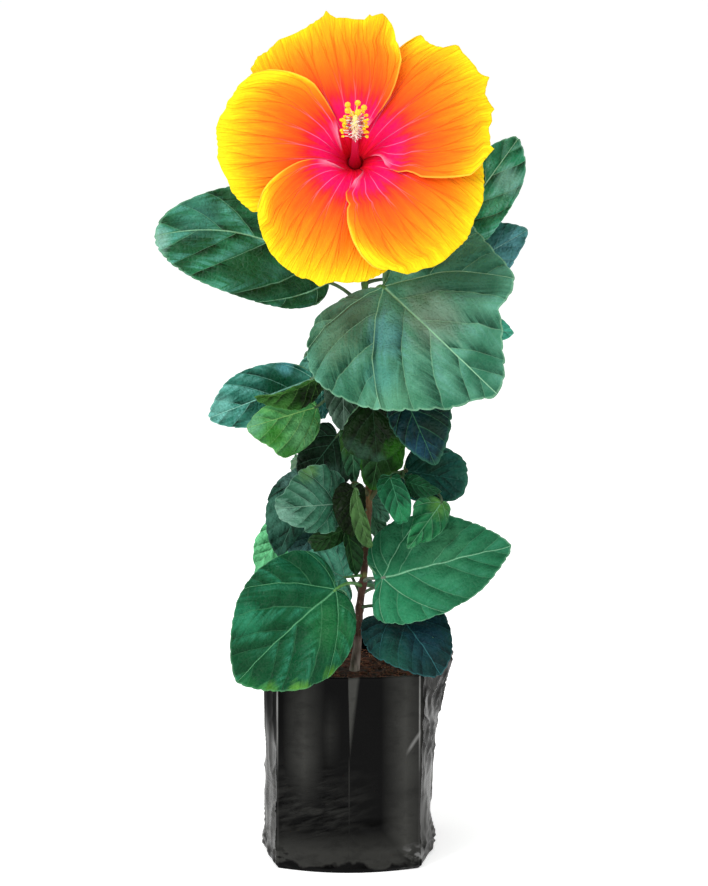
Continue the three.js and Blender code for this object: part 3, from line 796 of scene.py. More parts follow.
def leaf_stalk(name, leaf):
    base, along, up, _, length = leaf_frame(leaf)
    source, share = leaf["source"]
    root = on_path(limb_paths[source], share)
    end = base - up * 0.5 * max(1, 0.0125 * length) + along * 2
    span = (end - root).length
    first = root.lerp(end, 0.35) + Vector((0, 0, 0.12 * span))
    second = end - along * 0.3 * span
    thick = (0.9 + 0.004 * length) * 0.95

    def radius(t):
        return thick * (1.15 - 0.3 * t + 0.5 * math.exp(-t / 0.05) + 0.25 * math.exp(-(1 - t) / 0.08))

    path = bezier_path((root, first, second, end))
    return limb(name, path, radius, sides=10, rings=26, rough=0.08)


def vein_patterns(place):
    """The veins' own map, and from it how far along the side veins and from a main vein a place is"""
    lines = make_node(place.tree, "ShaderNodeUVMap", uv_map="veins")
    along_vein, beside, _ = lines.parts()
    return lines, along_vein, beside


def leaf_finish(name, leaf):
    """The upper side of a leaf: its green and a deeper green, painted bluish or greyish sheen beside the
    veins, painted shade in the hollows, spots of painted light, painted shade and tint, and its veins
    """
    *_, length = leaf_frame(leaf)
    face, deep, vein, sheen_green = leaf["greens"].split()
    shine = leaf.get("shine", 0.42)
    finish, shader, place = start_finish(name, shine, IOR=1.45, Specular_IOR_Level=0.12)
    lines, along_vein, beside = vein_patterns(place)
    reach = make_node(place.tree, "ShaderNodeUVMap", uv_map="blade").parts()[1]
    spacing = length / side_veins
    wander = (place.grain(90, 2) - 0.5) * 0.1
    side_vein = (along_vein + wander).maths("PINGPONG", 0.5)
    fading = reach.level(0.3, 1.0, 0.62, 0.22) * along_vein.level(0.3, 0.5)
    side_line = side_vein.level(0.15 / spacing, 0.6 / spacing, 1, 0) * fading
    main_line = beside.level(0.002 * length, 0.006 * length + 0.2, 0.9, 0.0)
    net = place.node(
        "ShaderNodeTexVoronoi", {"Vector": place, "Scale": 300}, "Distance", feature="DISTANCE_TO_EDGE"
    )
    tone = place.grain(30, 3).level(0.34, 0.6).blend(deep, face)

    # Painted sheen: a bluish or greyish highlight just past each side vein, broken into rungs and patches
    # by noise
    panel = (along_vein + wander).maths("FRACT")
    rungs = lines.grain(1.0, 4, (0.8, 0.15, 1), 0.62)
    ridge = panel.level(0.0, 0.1) * panel.level(0.15, 0.7, 1.0, 0.0)
    here = place.grain(30, 2).level(0.32, 0.52) * leaf.get("patches", 0.5)
    tone = (ridge * (rungs.level(0.42, 0.6) * here)).blend(tone, sheen_green)
    # Painted shade: darker towards the next side vein, in the hollows of the quilting
    hollow = panel.level(0.35, 0.95) * reach.level(0.1, 0.4, 0, leaf.get("hollows", 1))
    shadow = [0.32 * shade for shade in paint(deep)[:3]] + [1]
    tone = (hollow * rungs.level(0.6, 0.42, 0.25, 1.0)).blend(tone, shadow)

    # Spots of painted light, painted shade and the leaf's own tints, each placed as seen from the front
    seen = place.node("ShaderNodeMapping", {"Vector": place, "Scale": (1, 0, 1)})
    for across, up, size, code, strength in leaf.get("spots", ()):
        middle = (across * MM, 0, up * MM)
        off = seen.node("ShaderNodeVectorMath", {0: seen, 1: middle}, "Value", operation="DISTANCE")
        off = off + rungs.level(0.3, 0.7, 0.3 * size * MM, -0.3 * size * MM)
        tone = off.rises(0.35 * size, size, strength, 0).blend(tone, code)
    tone = place.grain(700, 3).level(0.3, 0.7, 0.0, 0.3).blend(tone, deep)
    tone = reach.level(0.982, 0.992, 0.0, 0.35).blend(tone, vein)
    if "edge" in leaf:
        tone = reach.level(0.9, 1.0, 0.0, 0.8).blend(tone, leaf["edge"])
    strong = main_line.over(side_line * leaf.get("veined", 0.8))
    faint = net.level(0.0, 0.14, 1.0, 0.0) * 0.03
    strong.over(faint).blend(tone, vein).feed(shader, "Base Color")
    place.grain(45, 3).level(0.3, 0.7, shine - 0.08, shine + 0.12).feed(shader, "Roughness")
    height = place.grain(520, 2) * 0.35 + net.level(0.0, 0.3)
    (height - side_line.over(main_line)).raise_surface(shader, 0.0004)
    return finish


def underside_finish(name, face, vein):
    finish, shader, place = start_finish(name, 0.6, IOR=1.4)
    _, along_vein, beside = vein_patterns(place)
    side_line = along_vein.maths("PINGPONG", 0.5).level(0.015, 0.06, 0.6, 0.0)
    veins = side_line.over(beside.level(0.5, 1.2, 1.0, 0.0))
    mottled = place.grain(300, 3).level(0.3, 0.7, 0.0, 0.4).blend(face, vein)
    veins.blend(mottled, vein).feed(shader, "Base Color")
    (veins + place.grain(400, 2)).raise_surface(shader, 0.0005)
    return finish


def stalk_finish(name, code, shade):
    finish, shader, place = start_finish(name, 0.5)
    place.grain(220, 3).level(0.35, 0.65).blend(code, shade).feed(shader, "Base Color")
    place.grain(900, 2).raise_surface(shader, 0.0001)
    return finish


under = underside_finish("leaf_underside", "#4f8160", "#86ab7c")
green_stalk = stalk_finish("green_stalk", "#5f9a48", "#3f7434")
dark_stalk = stalk_finish("dark_stalk", "#3f5f34", "#2c4628")
grey_stalk = stalk_finish("grey_stalk", "#7a8a78", "#5a6a5a")


def join(piece, other):
    """Makes the other object part of the piece"""
    bpy.ops.object.select_all(action="DESELECT")
    other.select_set(True)
    piece.select_set(True)
    bpy.context.view_layer.objects.active = piece
    bpy.ops.object.join()
    bpy.ops.object.select_all(action="DESELECT")


def grow_leaf(name, base, tip, halves, source, greens, stalk=dark_stalk, **leaf):
    """
    Makes a leaf. The blade runs from base to tip, and halves are its widest reach to the left and
    right. Its stalk springs from a source: a limb, and a share of that limb's length. The greens are
    those of its face, a deeper green that the face varies to and that darkens into painted shade in
    the hollows, its veins, and the painted sheen beside its veins. Each dent in its edge has an angle
    from the tip, a depth and a width in degrees. Each spot has its place across and up, its reach,
    colour and strength; spots are painted light and painted shade, and some are the leaf's own tints.
    Of the rest, lobe and broad form the heart, and arch, fold and bow bend it. A wave has a height, a
    number and a start, and teeth have a spacing and a depth. Quilt and rumple are heights, shine is
    the roughness, edge is the margin's colour, and the strengths are those of the painted sheen, the
    side veins and the painted shade in the hollows.
    """
    leaf.update(base=base, tip=tip, halves=halves, source=source, greens=greens)
    piece = leaf_blade(name + "_blade", leaf)
    piece.data.materials.append(leaf_finish(name + "_green", leaf))
    piece.data.materials.append(under)
    thicken(piece, blade_thickness, second_finish=1)
    stalk_piece = leaf_stalk(name + "_stalk", leaf)
    piece.data.materials.append(stalk)
    stalk_piece.data.materials.append(stalk)
    join(piece, stalk_piece)
    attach(piece, "root")
    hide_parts(name)


# Top leaves
# The largest leaves, close under the bloom: a long one to the left, a broad one in front, and three
# that show to the right.

grow_leaf(
    "leaf_upper_left", (-14, -5, 411), (-133, -24, 446), (43, 35), ("main_stem", 0.87),
    "#2a7a50 #103a16 #86c09a #66b8aa", bow=-17, broad=0.05, lobe=0.06, arch=8, wave=(2, 6, 0), quilt=3.2,
    patches=0.8, shine=0.36, dents=[(-35, -7, 18), (150, 9, 25)],
    spots=[
        (-131, 443, 11, "#a8d8cc", 0.5), (-39, 407, 30, "#123a1e", 0.7), (-102, 461, 22, "#4f9c8c", 0.4),
        (-71, 427, 16, "#1c5430", 0.6),
    ],
)
grow_leaf(
    "leaf_big_front", (24, -22, 411), (101, -85, 348), (72, 80), ("main_stem", 0.86),
    "#62a688 #2f7054 #a0d8b0 #72b0a6", lobe=0.3, broad=0.3, arch=9, wave=(2.5, 7, 1), teeth=(10, 2.0),
    patches=0.6, shine=0.5, stalk=green_stalk,
    dents=[(72, -9, 12), (56, 5, 6), (40, 5, 14), (-22, 4, 10), (-150, 3, 20), (-170, -3, 8)],
    spots=[
        (2, 398, 26, "#514c36", 0.62), (-12, 376, 18, "#6f8a6c", 0.45), (26, 383, 17, "#5fa6b0", 0.55),
        (57, 396, 24, "#90ac98", 0.65), (77, 433, 30, "#265a48", 0.65), (30, 339, 30, "#63a37c", 0.4),
        (22, 357, 14, "#55a39a", 0.5),
    ],
)
grow_leaf(
    "leaf_top_right", (63, -6, 435), (116, 6, 508), (20, 30), ("main_stem", 0.97),
    "#36a878 #145232 #9ad0ae #8accbe", broad=-0.1, wave=(2, 5, 2), patches=0.8, shine=0.38,
    dents=[(-70, 9, 22), (-100, 6, 25), (10, -3, 25)],
    spots=[
        (111, 481, 13, "#8ccabc", 0.55), (103, 502, 12, "#1a5434", 0.6), (98, 464, 14, "#5aa07c", 0.4),
    ],
)
grow_leaf(
    "leaf_right_blue", (67, 14, 410), (125, 11, 445), (26, 27), ("main_stem", 0.93),
    "#54a092 #245c56 #86b6ae #6aa6b4", wave=(2, 5, 0), dents=[(-50, 4, 30)],
    spots=[(112, 430, 18, "#6aa8b8", 0.6), (103, 437, 12, "#184038", 0.5)],
)
grow_leaf(
    "leaf_right_back", (75, 22, 378), (116, 18, 370), (14, 14), ("main_stem", 0.76),
    "#4ab496 #3a9a80 #7fc0a4 #5aa898",
)

# Upper left leaves
# Five leaves on the upper left shoot, and one that peeks out from behind the broad front leaf.

grow_leaf(
    "leaf_left_broad", (-25, 4, 341), (-98, -8, 315), (20, 20), ("shoot_left_upper", 0.9),
    "#3c9280 #0f4c38 #96d8c6 #84d2ca", broad=0.05, wave=(2, 6, 1), quilt=2.6, patches=0.8, shine=0.45,
    dents=[(-72, -7, 28), (-132, 11, 24)],
    spots=[
        (-45, 337, 18, "#0c4a30", 0.85), (-91, 324, 14, "#7cc0b4", 0.5), (-44, 351, 8, "#6cc0d0", 0.6),
    ],
)
# The near-black spots on the folded leaf are painted shadow under the leaves above it
grow_leaf(
    "leaf_left_folded", (-21, -24, 347), (-65, -40, 336), (11, 11), ("shoot_left_upper", 0.97),
    "#35702a #173c0e #5f9048 #4a7a3c", face=(0.19, -0.77, -0.46), fold=0.84, wave=(1, 5, 0),
    spots=[(-28, 334, 13, "#070f03", 0.95), (-18, 339, 12, "#0a1406", 0.9)],
)
grow_leaf(
    "leaf_left_bright", (-22, -12, 324), (-71, -26, 312), (27, 14), ("shoot_left_upper", 0.8),
    "#509f5c #1c5216 #90c874 #7ac06c", lobe=0, wave=(2, 5, 2), quilt=2.0, patches=0.7, hollows=0.7,
    shine=0.34, dents=[(128, 4, 20), (78, -5, 14)],
    spots=[
        (-52, 308, 11, "#27700f", 0.75), (-31, 308, 14, "#70b07c", 0.4), (-67, 314, 11, "#70b48c", 0.7),
        (-42, 294, 8, "#2a6c1c", 0.7),
    ],
)
grow_leaf(
    "leaf_left_teal", (-19, 14, 327), (-18, 12, 309), (6, 6), ("shoot_left_upper", 0.6),
    "#3f8a84 #24605a #7fb8b0 #5aa0a0",
)
grow_leaf(
    "leaf_left_peek", (-10, 16, 359), (-35, 15, 346), (9, 9), ("main_stem", 0.79),
    "#7ac4b4 #5aa492 #86c4ac #68b0a0", lobe=0.08, arch=1, dents=[(-85, 8, 30), (30, -7, 25)],
)
grow_leaf(
    "leaf_left_veined", (-8, -1, 301), (-34, -3, 267), (20, 18), ("shoot_left_upper", 0.35),
    "#1a3a26 #0a1c0c #4c7860 #2c4c3c", arch=3, dents=[(88, -8, 30), (-165, 2, 12)],
    spots=[(-13, 275, 10, "#4c7868", 0.45)],
)

# Middle leaves
# Overlapping dark leaves that hang around the stem under the broad front leaf.

grow_leaf(
    "leaf_middle_grey", (-4, -14, 348), (-3, -18, 309), (16, 10), ("main_stem", 0.7),
    "#4a6a58 #243e2c #8aa898 #7f9488", arch=3, patches=0.7, dents=[(-95, -5, 30), (-50, -4, 35)],
    spots=[(-6, 316, 10, "#5f7c6c", 0.5), (-13, 345, 10, "#2c4030", 0.6)],
)
grow_leaf(
    "leaf_middle_dark", (16, -26, 333), (20, -32, 289), (22, 23), ("main_stem", 0.64),
    "#122c0a #081a04 #26422c #1a3822", broad=-0.2, lobe=0, dents=[(85, 6, 25), (-138, 5, 22)],
    spots=[
        (34, 296, 13, "#1e5a06", 0.9), (-3, 293, 9, "#1c4a08", 0.8), (2, 303, 7, "#3c6450", 0.3),
        (10, 296, 8, "#3c6450", 0.4), (21, 290, 8, "#3f6a54", 0.4),
    ],
)
grow_leaf(
    "leaf_middle_low", (2, -11, 312), (4, -9, 267), (8, 9), ("shoot_left_upper", 0.3),
    "#2c6240 #14381e #5f8f6c #4c846a", arch=2, spots=[(-7, 299, 17, "#1f4409", 0.95)],
)
grow_leaf(
    "leaf_middle_olive", (25, -8, 311), (16, -9, 263), (18, 12), ("main_stem", 0.56),
    "#1a3f1a #0e2a0c #4f8050 #34683e", arch=3, edge="#2a6410",
    dents=[(-60, -4, 30), (80, -3, 12), (42, 4, 14)],
    spots=[(37, 291, 12, "#206006", 0.9), (26, 280, 9, "#143808", 0.7)],
)
grow_leaf(
    "leaf_right_navy", (40, -38, 334), (60, -46, 290), (27, 18), ("main_stem", 0.67),
    "#0f3438 #081c1a #458060 #173c4c", broad=0.4, edge="#2c5f48",
    spots=[(48, 302, 13, "#245a78", 0.4), (60, 321, 14, "#122c1c", 0.7)],
)

# Right leaves
# A round dark leaf and three small curled ones, on the right shoot.

grow_leaf(
    "leaf_right_round", (40, 7, 274), (84, 0, 268), (23, 20), ("shoot_right", 0.97),
    "#165044 #0e362e #2f6458 #1c5054", arch=4, edge="#2c6450",
    dents=[(145, 14, 22), (50, -5, 25), (-50, -6, 25)],
    spots=[(59, 281, 12, "#14321c", 0.7), (80, 275, 10, "#1f5a48", 0.5)],
)
grow_leaf(
    "leaf_right_small", (40, -17, 272), (59, -24, 268), (7, 9), ("shoot_right", 0.9),
    "#1a6238 #0e4224 #3c7c58 #2a6e4a", dents=[(0, -5, 35), (-60, -3, 30)],
    spots=[(46, 265, 8, "#0c2c1c", 0.8)],
)
grow_leaf(
    "leaf_right_cupped", (29, -26, 277), (38, -42, 249), (9, 12), ("shoot_right", 0.86),
    "#20744a #0e482c #4f9a72 #3c8e68", wave=(2.5, 4, 1),
    dents=[(105, 3, 15), (62, -5, 22), (25, -3, 20), (-30, -3, 20)],
    spots=[(26, 280, 11, "#123a18", 0.85), (37, 255, 9, "#2a9058", 0.5)],
)
grow_leaf(
    "leaf_right_curled", (65, -21, 258), (41, -36, 228), (12, 10), ("shoot_right", 0.76),
    "#34905a #1a643c #78b88c #58a468", lobe=0.08, wave=(3.5, 5, 0),
    dents=[(-128, -7, 24), (-105, -3, 20), (40, 3, 18)],
    spots=[(64, 258, 11, "#6a9c3c", 0.6), (48, 246, 8, "#1c7448", 0.5)],
)

# Left leaves
# A ruffled grey-green leaf in front, dark and slate leaves behind it, and the small inner leaves
# around the stem.

grow_leaf(
    "leaf_left_ruffled", (-9, -22, 257), (-52, -42, 259), (20, 29), ("main_stem", 0.4),
    "#4a8068 #265a42 #84b098 #78a892", lobe=0.3, broad=0.1, wave=(3.5, 7, 1), teeth=(11, 2.4), rumple=1.6,
    quilt=1.4, patches=0.7, shine=0.5, dents=[(-30, 3, 6), (-112, 3, 7), (60, 2, 6)],
    spots=[
        (-46, 253, 12, "#8cbca8", 0.6), (-13, 250, 16, "#22664a", 0.6), (-28, 283, 9, "#6a9648", 0.5),
        (-18, 266, 11, "#2f6c54", 0.5),
    ],
)
grow_leaf(
    "leaf_left_dark", (-26, 6, 269), (-50, 0, 213), (18, 24), ("main_stem", 0.43),
    "#204f40 #102e20 #44705c #386258", dents=[(-130, 5, 25), (50, 7, 22)],
    spots=[(-41, 273, 15, "#66938a", 0.75), (-53, 245, 18, "#4c8670", 0.5)],
)
grow_leaf(
    "leaf_left_slate", (-15, 9, 239), (-40, 6, 209), (15, 15), ("main_stem", 0.34),
    "#4f7c7c #28504c #6a9a94 #5f8a90", lobe=0.08, dents=[(-60, -3, 30)],
)
grow_leaf(
    "leaf_left_far", (-34, 27, 236), (-67, 22, 199), (15, 17), ("main_stem", 0.31),
    "#78d898 #3f9c60 #86cc98 #80d09c", teeth=(9, 2.0),
    dents=[(30, -7, 25), (0, 2, 15), (-62, -2, 10), (-36, -1, 8)],
)
grow_leaf(
    "leaf_inner_dark", (4, -28, 270), (2, -31, 235), (9, 15), ("shoot_left_lower", 0.7),
    "#0e2404 #061203 #1c3410 #122a0a", arch=2, quilt=0.4, rumple=0.6, patches=0.3,
)
grow_leaf(
    "leaf_inner_light", (5, -34, 271), (16, -41, 230), (4.5, 7), ("shoot_left_lower", 0.97),
    "#446a38 #34562a #587c4c #5c8852", broad=-0.25, lobe=0, bow=-2, quilt=0.15, rumple=0.3, patches=0.3,
    dents=[(-50, -1, 30)],
)
grow_leaf(
    "leaf_inner_left", (-4, -9, 235), (-26, -14, 225), (8, 8.5), ("main_stem", 0.345),
    "#183f14 #102c12 #3f6a3a #2c5634", broad=0.15, dents=[(40, -4, 25), (-40, -4, 25)],
)
grow_leaf(
    "leaf_inner_right", (-1, -12, 235), (5, -15, 203), (8.5, 4), ("main_stem", 0.31),
    "#17401c #0c2810 #3a6434 #285030", broad=0.05, lobe=0.06,
)
grow_leaf(
    "leaf_behind_upper", (12, 12, 256), (29, 9, 236), (8, 8), ("main_stem", 0.45),
    "#4f8a70 #34644c #6a947c #5a8070",
)
grow_leaf(
    "leaf_behind_lower", (14, 19, 243), (26, 16, 220), (8, 8), ("main_stem", 0.36),
    "#4a7f60 #2f5c40 #74a484 #64947a",
)

# Low leaves
# Four leaves just over the bag: two broad ones that frame the stem, a dark bluish one that leans
# over the rim, and a small grey-green one behind them.

grow_leaf(
    "leaf_low_left", (-9, -32, 198), (-78, -60, 139), (43, 45), ("main_stem", 0.222),
    "#0c5632 #0a4526 #62a878 #3f9c7c", face=(-0.1, -0.87, 0.48), broad=0.1, arch=8, wave=(2, 7, 0),
    teeth=(8, 1.0), shine=0.4, patches=0.6, veined=0.45, hollows=0.6, stalk=green_stalk,
    dents=[(143, 17, 28), (72, -5, 25), (-45, 3, 25), (-125, -4, 22)],
    spots=[
        (-73, 181, 16, "#2f946c", 0.4), (-13, 178, 22, "#2c7e44", 0.5), (-34, 212, 18, "#0c4628", 0.55),
        (-33, 134, 12, "#6aa828", 0.8), (-54, 131, 12, "#5a9a24", 0.7), (-9, 146, 10, "#5a9420", 0.7),
        (-69, 132, 14, "#1f7a38", 0.6),
    ],
)
grow_leaf(
    "leaf_low_right", (24, -26, 205), (113, -40, 232), (38, 39), ("main_stem", 0.232),
    "#2c7e56 #175f3c #86c49c #46967a", face=(0, -0.82, 0.57), arch=2, broad=0.35, teeth=(6.5, 1.3),
    shine=0.48, patches=0.4, veined=0.55, hollows=0.6, stalk=grey_stalk,
    dents=[
        (-60, -5, 25), (-125, -2, 25), (70, -2, 25), (152, 4.5, 15), (180, -6, 12), (-180, -6, 12),
        (-148, -2.5, 14),
    ],
    spots=[
        (34, 228, 26, "#1d5c3c", 0.6), (64, 230, 24, "#3f7c54", 0.4), (36, 191, 24, "#2f9062", 0.45),
        (21, 216, 12, "#134c30", 0.6),
    ],
)
grow_leaf(
    "leaf_low_dark", (33, -22, 179), (64, -68, 147), (27, 36), ("main_stem", 0.17),
    "#143c38 #0c2a2c #3f7c80 #184650", face=(0.1, -0.72, 0.7), broad=0.05, shine=0.5, veined=0.5,
    dents=[(70, 2, 30), (-160, -5, 20)],
    spots=[(29, 154, 18, "#1e5c48", 0.55), (53, 173, 20, "#12384c", 0.5)],
)
grow_leaf(
    "leaf_low_middle", (-3, -10, 201), (-34, -8, 216), (14, 19), ("main_stem", 0.245),
    "#60b898 #367862 #86b8a0 #78ae98", lobe=0.36, patches=0.7, stalk=green_stalk,
    dents=[(-103, -8, 30), (142, -7, 24)],
)

# Back leaves
# Two leaves at each of four heights, on the side away from the front, each a little turned and
# lengthened by a seeded draw, so that the plant is full all round.

back_levels = [("main_stem", 0.2), ("main_stem", 0.47), ("shoot_back", 0.95), ("main_stem", 0.73)]
back_stalk = 28
back_greens = ["#237a52 #155236 #7ab88c #3f937c", "#2c7058 #1b4c3a #78ae90 #4a9088"]
modulus = 2147483647
multiplier = 16807
seed = 20


def draw():
    global seed
    seed = (seed * multiplier) % modulus
    return seed / modulus


for height_number, source in enumerate(back_levels):
    for side, side_name in ((1, "right"), (-1, "left")):
        swing = math.radians(90 - side * (32 + 8 * draw()))
        length = 52 + 16 * draw()
        out = Vector((math.cos(swing), math.sin(swing), 0))
        base = on_path(limb_paths[source[0]], source[1]) + back_stalk * out
        base.z += 8 - 9 * side
        tip = base + 0.86 * length * out
        tip.z -= 0.45 * length
        grow_leaf(
            f"leaf_back_{side_name}_{height_number + 1}", base, tip, (0.42 * length, 0.4 * length), source,
            back_greens[(height_number + side) % 2], face=(0.5 * out.x, 0.5 * out.y, 0.85),
            dents=[(75, 15, 42)] if (height_number, side) == (3, -1) else [],
        )

# Petals
# Five broad petals that spring from a narrow throat. Each lies over the next with one edge, is
# ruffled at its margin, and runs from a crimson eye over red and orange to yellow, with pale veins.

throat = Vector((4.5, -32, 498))
bloom_tilt = math.radians(28)
outward = Vector((0, -math.cos(bloom_tilt), math.sin(bloom_tilt)))
bloom_up = Vector((0, math.sin(bloom_tilt), math.cos(bloom_tilt)))
bloom_right = Vector((1, 0, 0))
eye = 5
funnel_depth = 34
margin_roll = 5
petal_thickness = 0.5


def bloom_points(r, turn, height):
    """Places in the bloom, from the distance and turn round its axis and the height along it"""
    points = np.outer(height, outward) + np.outer(r * np.cos(turn), bloom_right)
    return points + np.outer(r * np.sin(turn), bloom_up) + np.array(throat)


def funnel(r):
    return funnel_depth * (1 - np.exp(-(r - eye) / 20)) - margin_roll * (r / 97) ** 4


petals = {
    "petal_1": {
        "centre": 103, "radius": 94, "warm": -0.05, "rim": 0.16,
        "margin": [
            (-36, 76), (-33, 80), (-31, 86), (-29, 91), (-26.5, 95), (-24, 98.5), (-22, 96), (-20, 94.5),
            (-19, 96), (-17, 91.5), (-11, 92), (-5, 93), (-3, 97), (-1.8, 101), (0, 97), (4.5, 94),
            (9, 92.5), (20, 93.5), (27, 92), (32, 93), (36, 91),
        ],
        "lead": [
            (5, 12), (16, 30), (21, 40), (26, 43), (34, 46), (43, 46.5), (51, 45), (68, 40.5), (76, 36),
        ],
    },
    "petal_2": {
        "centre": 175, "radius": 91, "warm": 0.03, "rim": 0.28,
        "margin": [
            (-32, 86), (-28, 87), (-24, 89.5), (-18.5, 89.3), (-15.6, 91.3), (-12.8, 90.8), (-9, 93.3),
            (-3.5, 94.3), (2, 92.5), (6, 91.7), (9, 92.5), (12, 91.6), (20, 88), (24, 88.2), (41, 80),
        ],
        "lead": [
            (5, 12), (13, 38), (21, 52), (26, 56), (39, 55), (52, 53.5), (58, 51), (68, 45.5), (79, 38.5),
            (86, 32),
        ],
    },
    "petal_3": {
        "centre": 246, "radius": 94, "warm": -0.01, "rim": 0.32,
        "margin": [
            (-32, 78), (-27, 83), (-21, 87.5), (-12, 93.5), (2, 98.5), (6, 96.7), (10.6, 99.7), (13, 96.8),
            (16, 94), (28, 93), (37.5, 88),
        ],
        "lead": [
            (5, 10), (11, 18), (15, 38), (20, 50), (25, 53), (31, 53), (38, 51.5), (53, 45.5), (62, 42),
            (69, 38.5), (78, 32),
        ],
    },
    "petal_4": {
        "centre": 316, "radius": 96, "warm": -0.01, "rim": 0.30,
        "margin": [
            (-34, 89), (-31, 90.5), (-25, 95.5), (-20, 96.3), (-11, 99), (-4, 98.5), (4, 98), (12, 94),
            (21, 93), (25, 91), (37, 86),
        ],
        "lead": [
            (5, 10), (10, 14), (19, 47), (31, 57.5), (37, 55), (40, 51.5), (44, 53), (54, 51.5), (67, 47.5),
            (78, 43), (86, 38.5), (90, 34),
        ],
    },
    "petal_5": {
        "centre": 26, "radius": 96, "warm": -0.02, "rim": 0.12,
        "margin": [
            (-34, 86), (-30, 90), (-27.5, 93), (-26, 90.5), (-17, 91), (-14.5, 93.7), (-11, 95),
            (-9.4, 97.8), (-5.7, 96), (-2.3, 95.5), (0.5, 99), (3.5, 104), (6, 100), (13, 100.3),
            (17.7, 101), (21, 103), (22.5, 102), (25, 94.2), (29, 91.4), (32.4, 91.8), (35.7, 94.4),
            (38, 87), (40, 80),
        ],
        "lead": [
            (5, 10), (17, 33), (22, 50), (27, 55.5), (33, 56.5), (38, 52), (43, 51.5), (49, 52.5), (65, 47),
            (80, 41.5), (86, 35),
        ],
    },
}


def petal_skin(petal):
    """Bends a grid to a petal: across it from the edge that lies under, to the edge that lies over"""
    centre = math.radians(petal["centre"])
    edge_turns, edge_radii = np.array(petal["margin"]).T
    lead_radii, lead_turns = np.array(petal["lead"]).T

    def place(across, along):
        across = 1 - 2 * across
        last_turn = np.where(across < 0, across * lead_turns[-1], across * 38)
        edge = np.interp(last_turn, edge_turns, edge_radii)
        plain = petal["radius"] * (1 - 0.12 * np.abs(across) ** 3)
        r = eye + (plain - eye) * along + (edge - plain) * along**5
        under_half = 56 - 18 * along**2
        over_half = np.interp(r, lead_radii, lead_turns)
        turn = centre + np.radians(across * np.where(across > 0, under_half, over_half))
        r = r + 0.3 * np.sin(61 * across + 5 * np.sin(7 * across)) * np.sin(5 * across + 1) * along**8
        lap = -4.2 * across * np.clip((r - eye) / petal["radius"], 0, 2) ** 0.45
        curl = 2.2 * near(along, 0.13, 0.06) * climb(-across, 0.55, 0.45) ** 2
        ruffle = 1.4 * along**3 * np.sin(6 * across + petal["centre"])
        ruffle += 0.9 * along**4 * np.sin(17 * across + petal["centre"] * 2)
        ruffle += 0.3 * along**3 * np.sin(37 * across + 3 * np.sin(6 * across)) * np.sin(4 * across)
        vein = np.abs(((across + 1) * 3.5) % 1 - 0.5)
        furrow = -0.35 * near(vein, 0.5, 0.07) * np.sin(np.pi * along) ** 0.5
        return bloom_points(r, turn, funnel(r) + lap + curl + ruffle + furrow)

    return place


def petal_shares(place):
    """How far across the petal and how far out along it a place is"""
    shares = make_node(place.tree, "ShaderNodeUVMap", uv_map="petal")
    u, v, _ = shares.parts()
    return shares, u, v


petal_colours = [
    (0.0, "#f00028"), (0.06, "#ff0040"), (0.13, "#ff0060"), (0.24, "#ff0a68"), (0.33, "#ff2630"),
    (0.42, "#ff4c1c"), (0.58, "#ff6c14"), (0.74, "#ff8a14"), (0.86, "#ffb014"), (0.95, "#ffd814"),
    (1.0, "#ffe81c"),
]


def petal_finish(name, petal):
    """A petal's colours, by how far out they lie, with its forked veins, fine fibres and a painted
    highlight on its curled edge
    """
    finish, shader, place = start_finish(name, 0.6, IOR=1.4, Specular_IOR_Level=0.12)
    shares, u, v = petal_shares(place)
    fine = shares.grain(1.0, 3, (170, 7, 1))
    broad = shares.grain(1.0, 3, (22, 2.2, 1))
    lead = u.level(0.84, 1.0).maths("POWER", 2.0) * v.level(0.25, 0.6, 0.0, petal["rim"])
    drift = (broad - 0.5) * 0.28 + (fine - 0.5) * 0.22
    far = v + lead + drift + petal["warm"]

    wander = (broad - 0.5) * v.level(0.1, 0.8, 0.05, 0.4) + 0.5
    cell = (u.level(0, 1, 0, 7) + wander).maths("PINGPONG", 0.5)
    first_fork = abs(cell - v.level(0.35, 0.95, 0.0, 0.3))
    second_fork = abs(first_fork - v.level(0.62, 1.0, 0.0, 0.12))
    line = second_fork.level(0.004, v.level(0.15, 0.5, 0.075, 0.035), 1.0, 0.0)
    inner = v.level(0.1, 0.18) * v.level(0.3, 0.62, 1.0, 0.0) * 0.85
    outer = v.level(0.38, 0.5) * v.level(0.7, 0.97, 1.0, 0.0) * 0.3
    pale = v.level(0.28, 0.5).blend("#ff7cbc", "#ff8a6c")
    fibres = place.grain(500, 3).level(0.3, 0.7, 0.0, 0.12)
    # Painted highlight: pale pink on the curled edge near the throat
    curl_highlight = u.level(0.86, 0.97) * v.level(0.2, 0.27, 1.0, 0.0) * v.level(0.06, 0.1) * 0.8
    rim_line = u.level(0.984, 0.994) * v.level(0.25, 0.4, 0.0, 0.6)
    tone = layered(
        far.ramp(petal_colours), (line * inner, pale), (line * outer, "#ee3c14"), (fibres, "#ff5a10"),
        (curl_highlight, "#ff9ab8"), (rim_line, "#ffc448"),
    )
    tone.feed(shader, "Base Color")
    crepe = shares.grain(1.0, 3, (110, 60, 1)) * 0.7
    (fine + crepe - line).raise_surface(shader, 0.0004)
    return finish


def petal_back_finish():
    finish, shader, place = start_finish("petal_back", 0.6, IOR=1.4)
    shares, _, v = petal_shares(place)
    fine = shares.grain(1.0, 3, (120, 4, 1))
    stops = [(0.0, "#b04a5a"), (0.2, "#f08070"), (0.5, "#ffa050"), (0.95, "#ffd84a")]
    (v + (fine - 0.5) * 0.25).ramp(stops).feed(shader, "Base Color")
    fine.raise_surface(shader, 0.0003)
    return finish


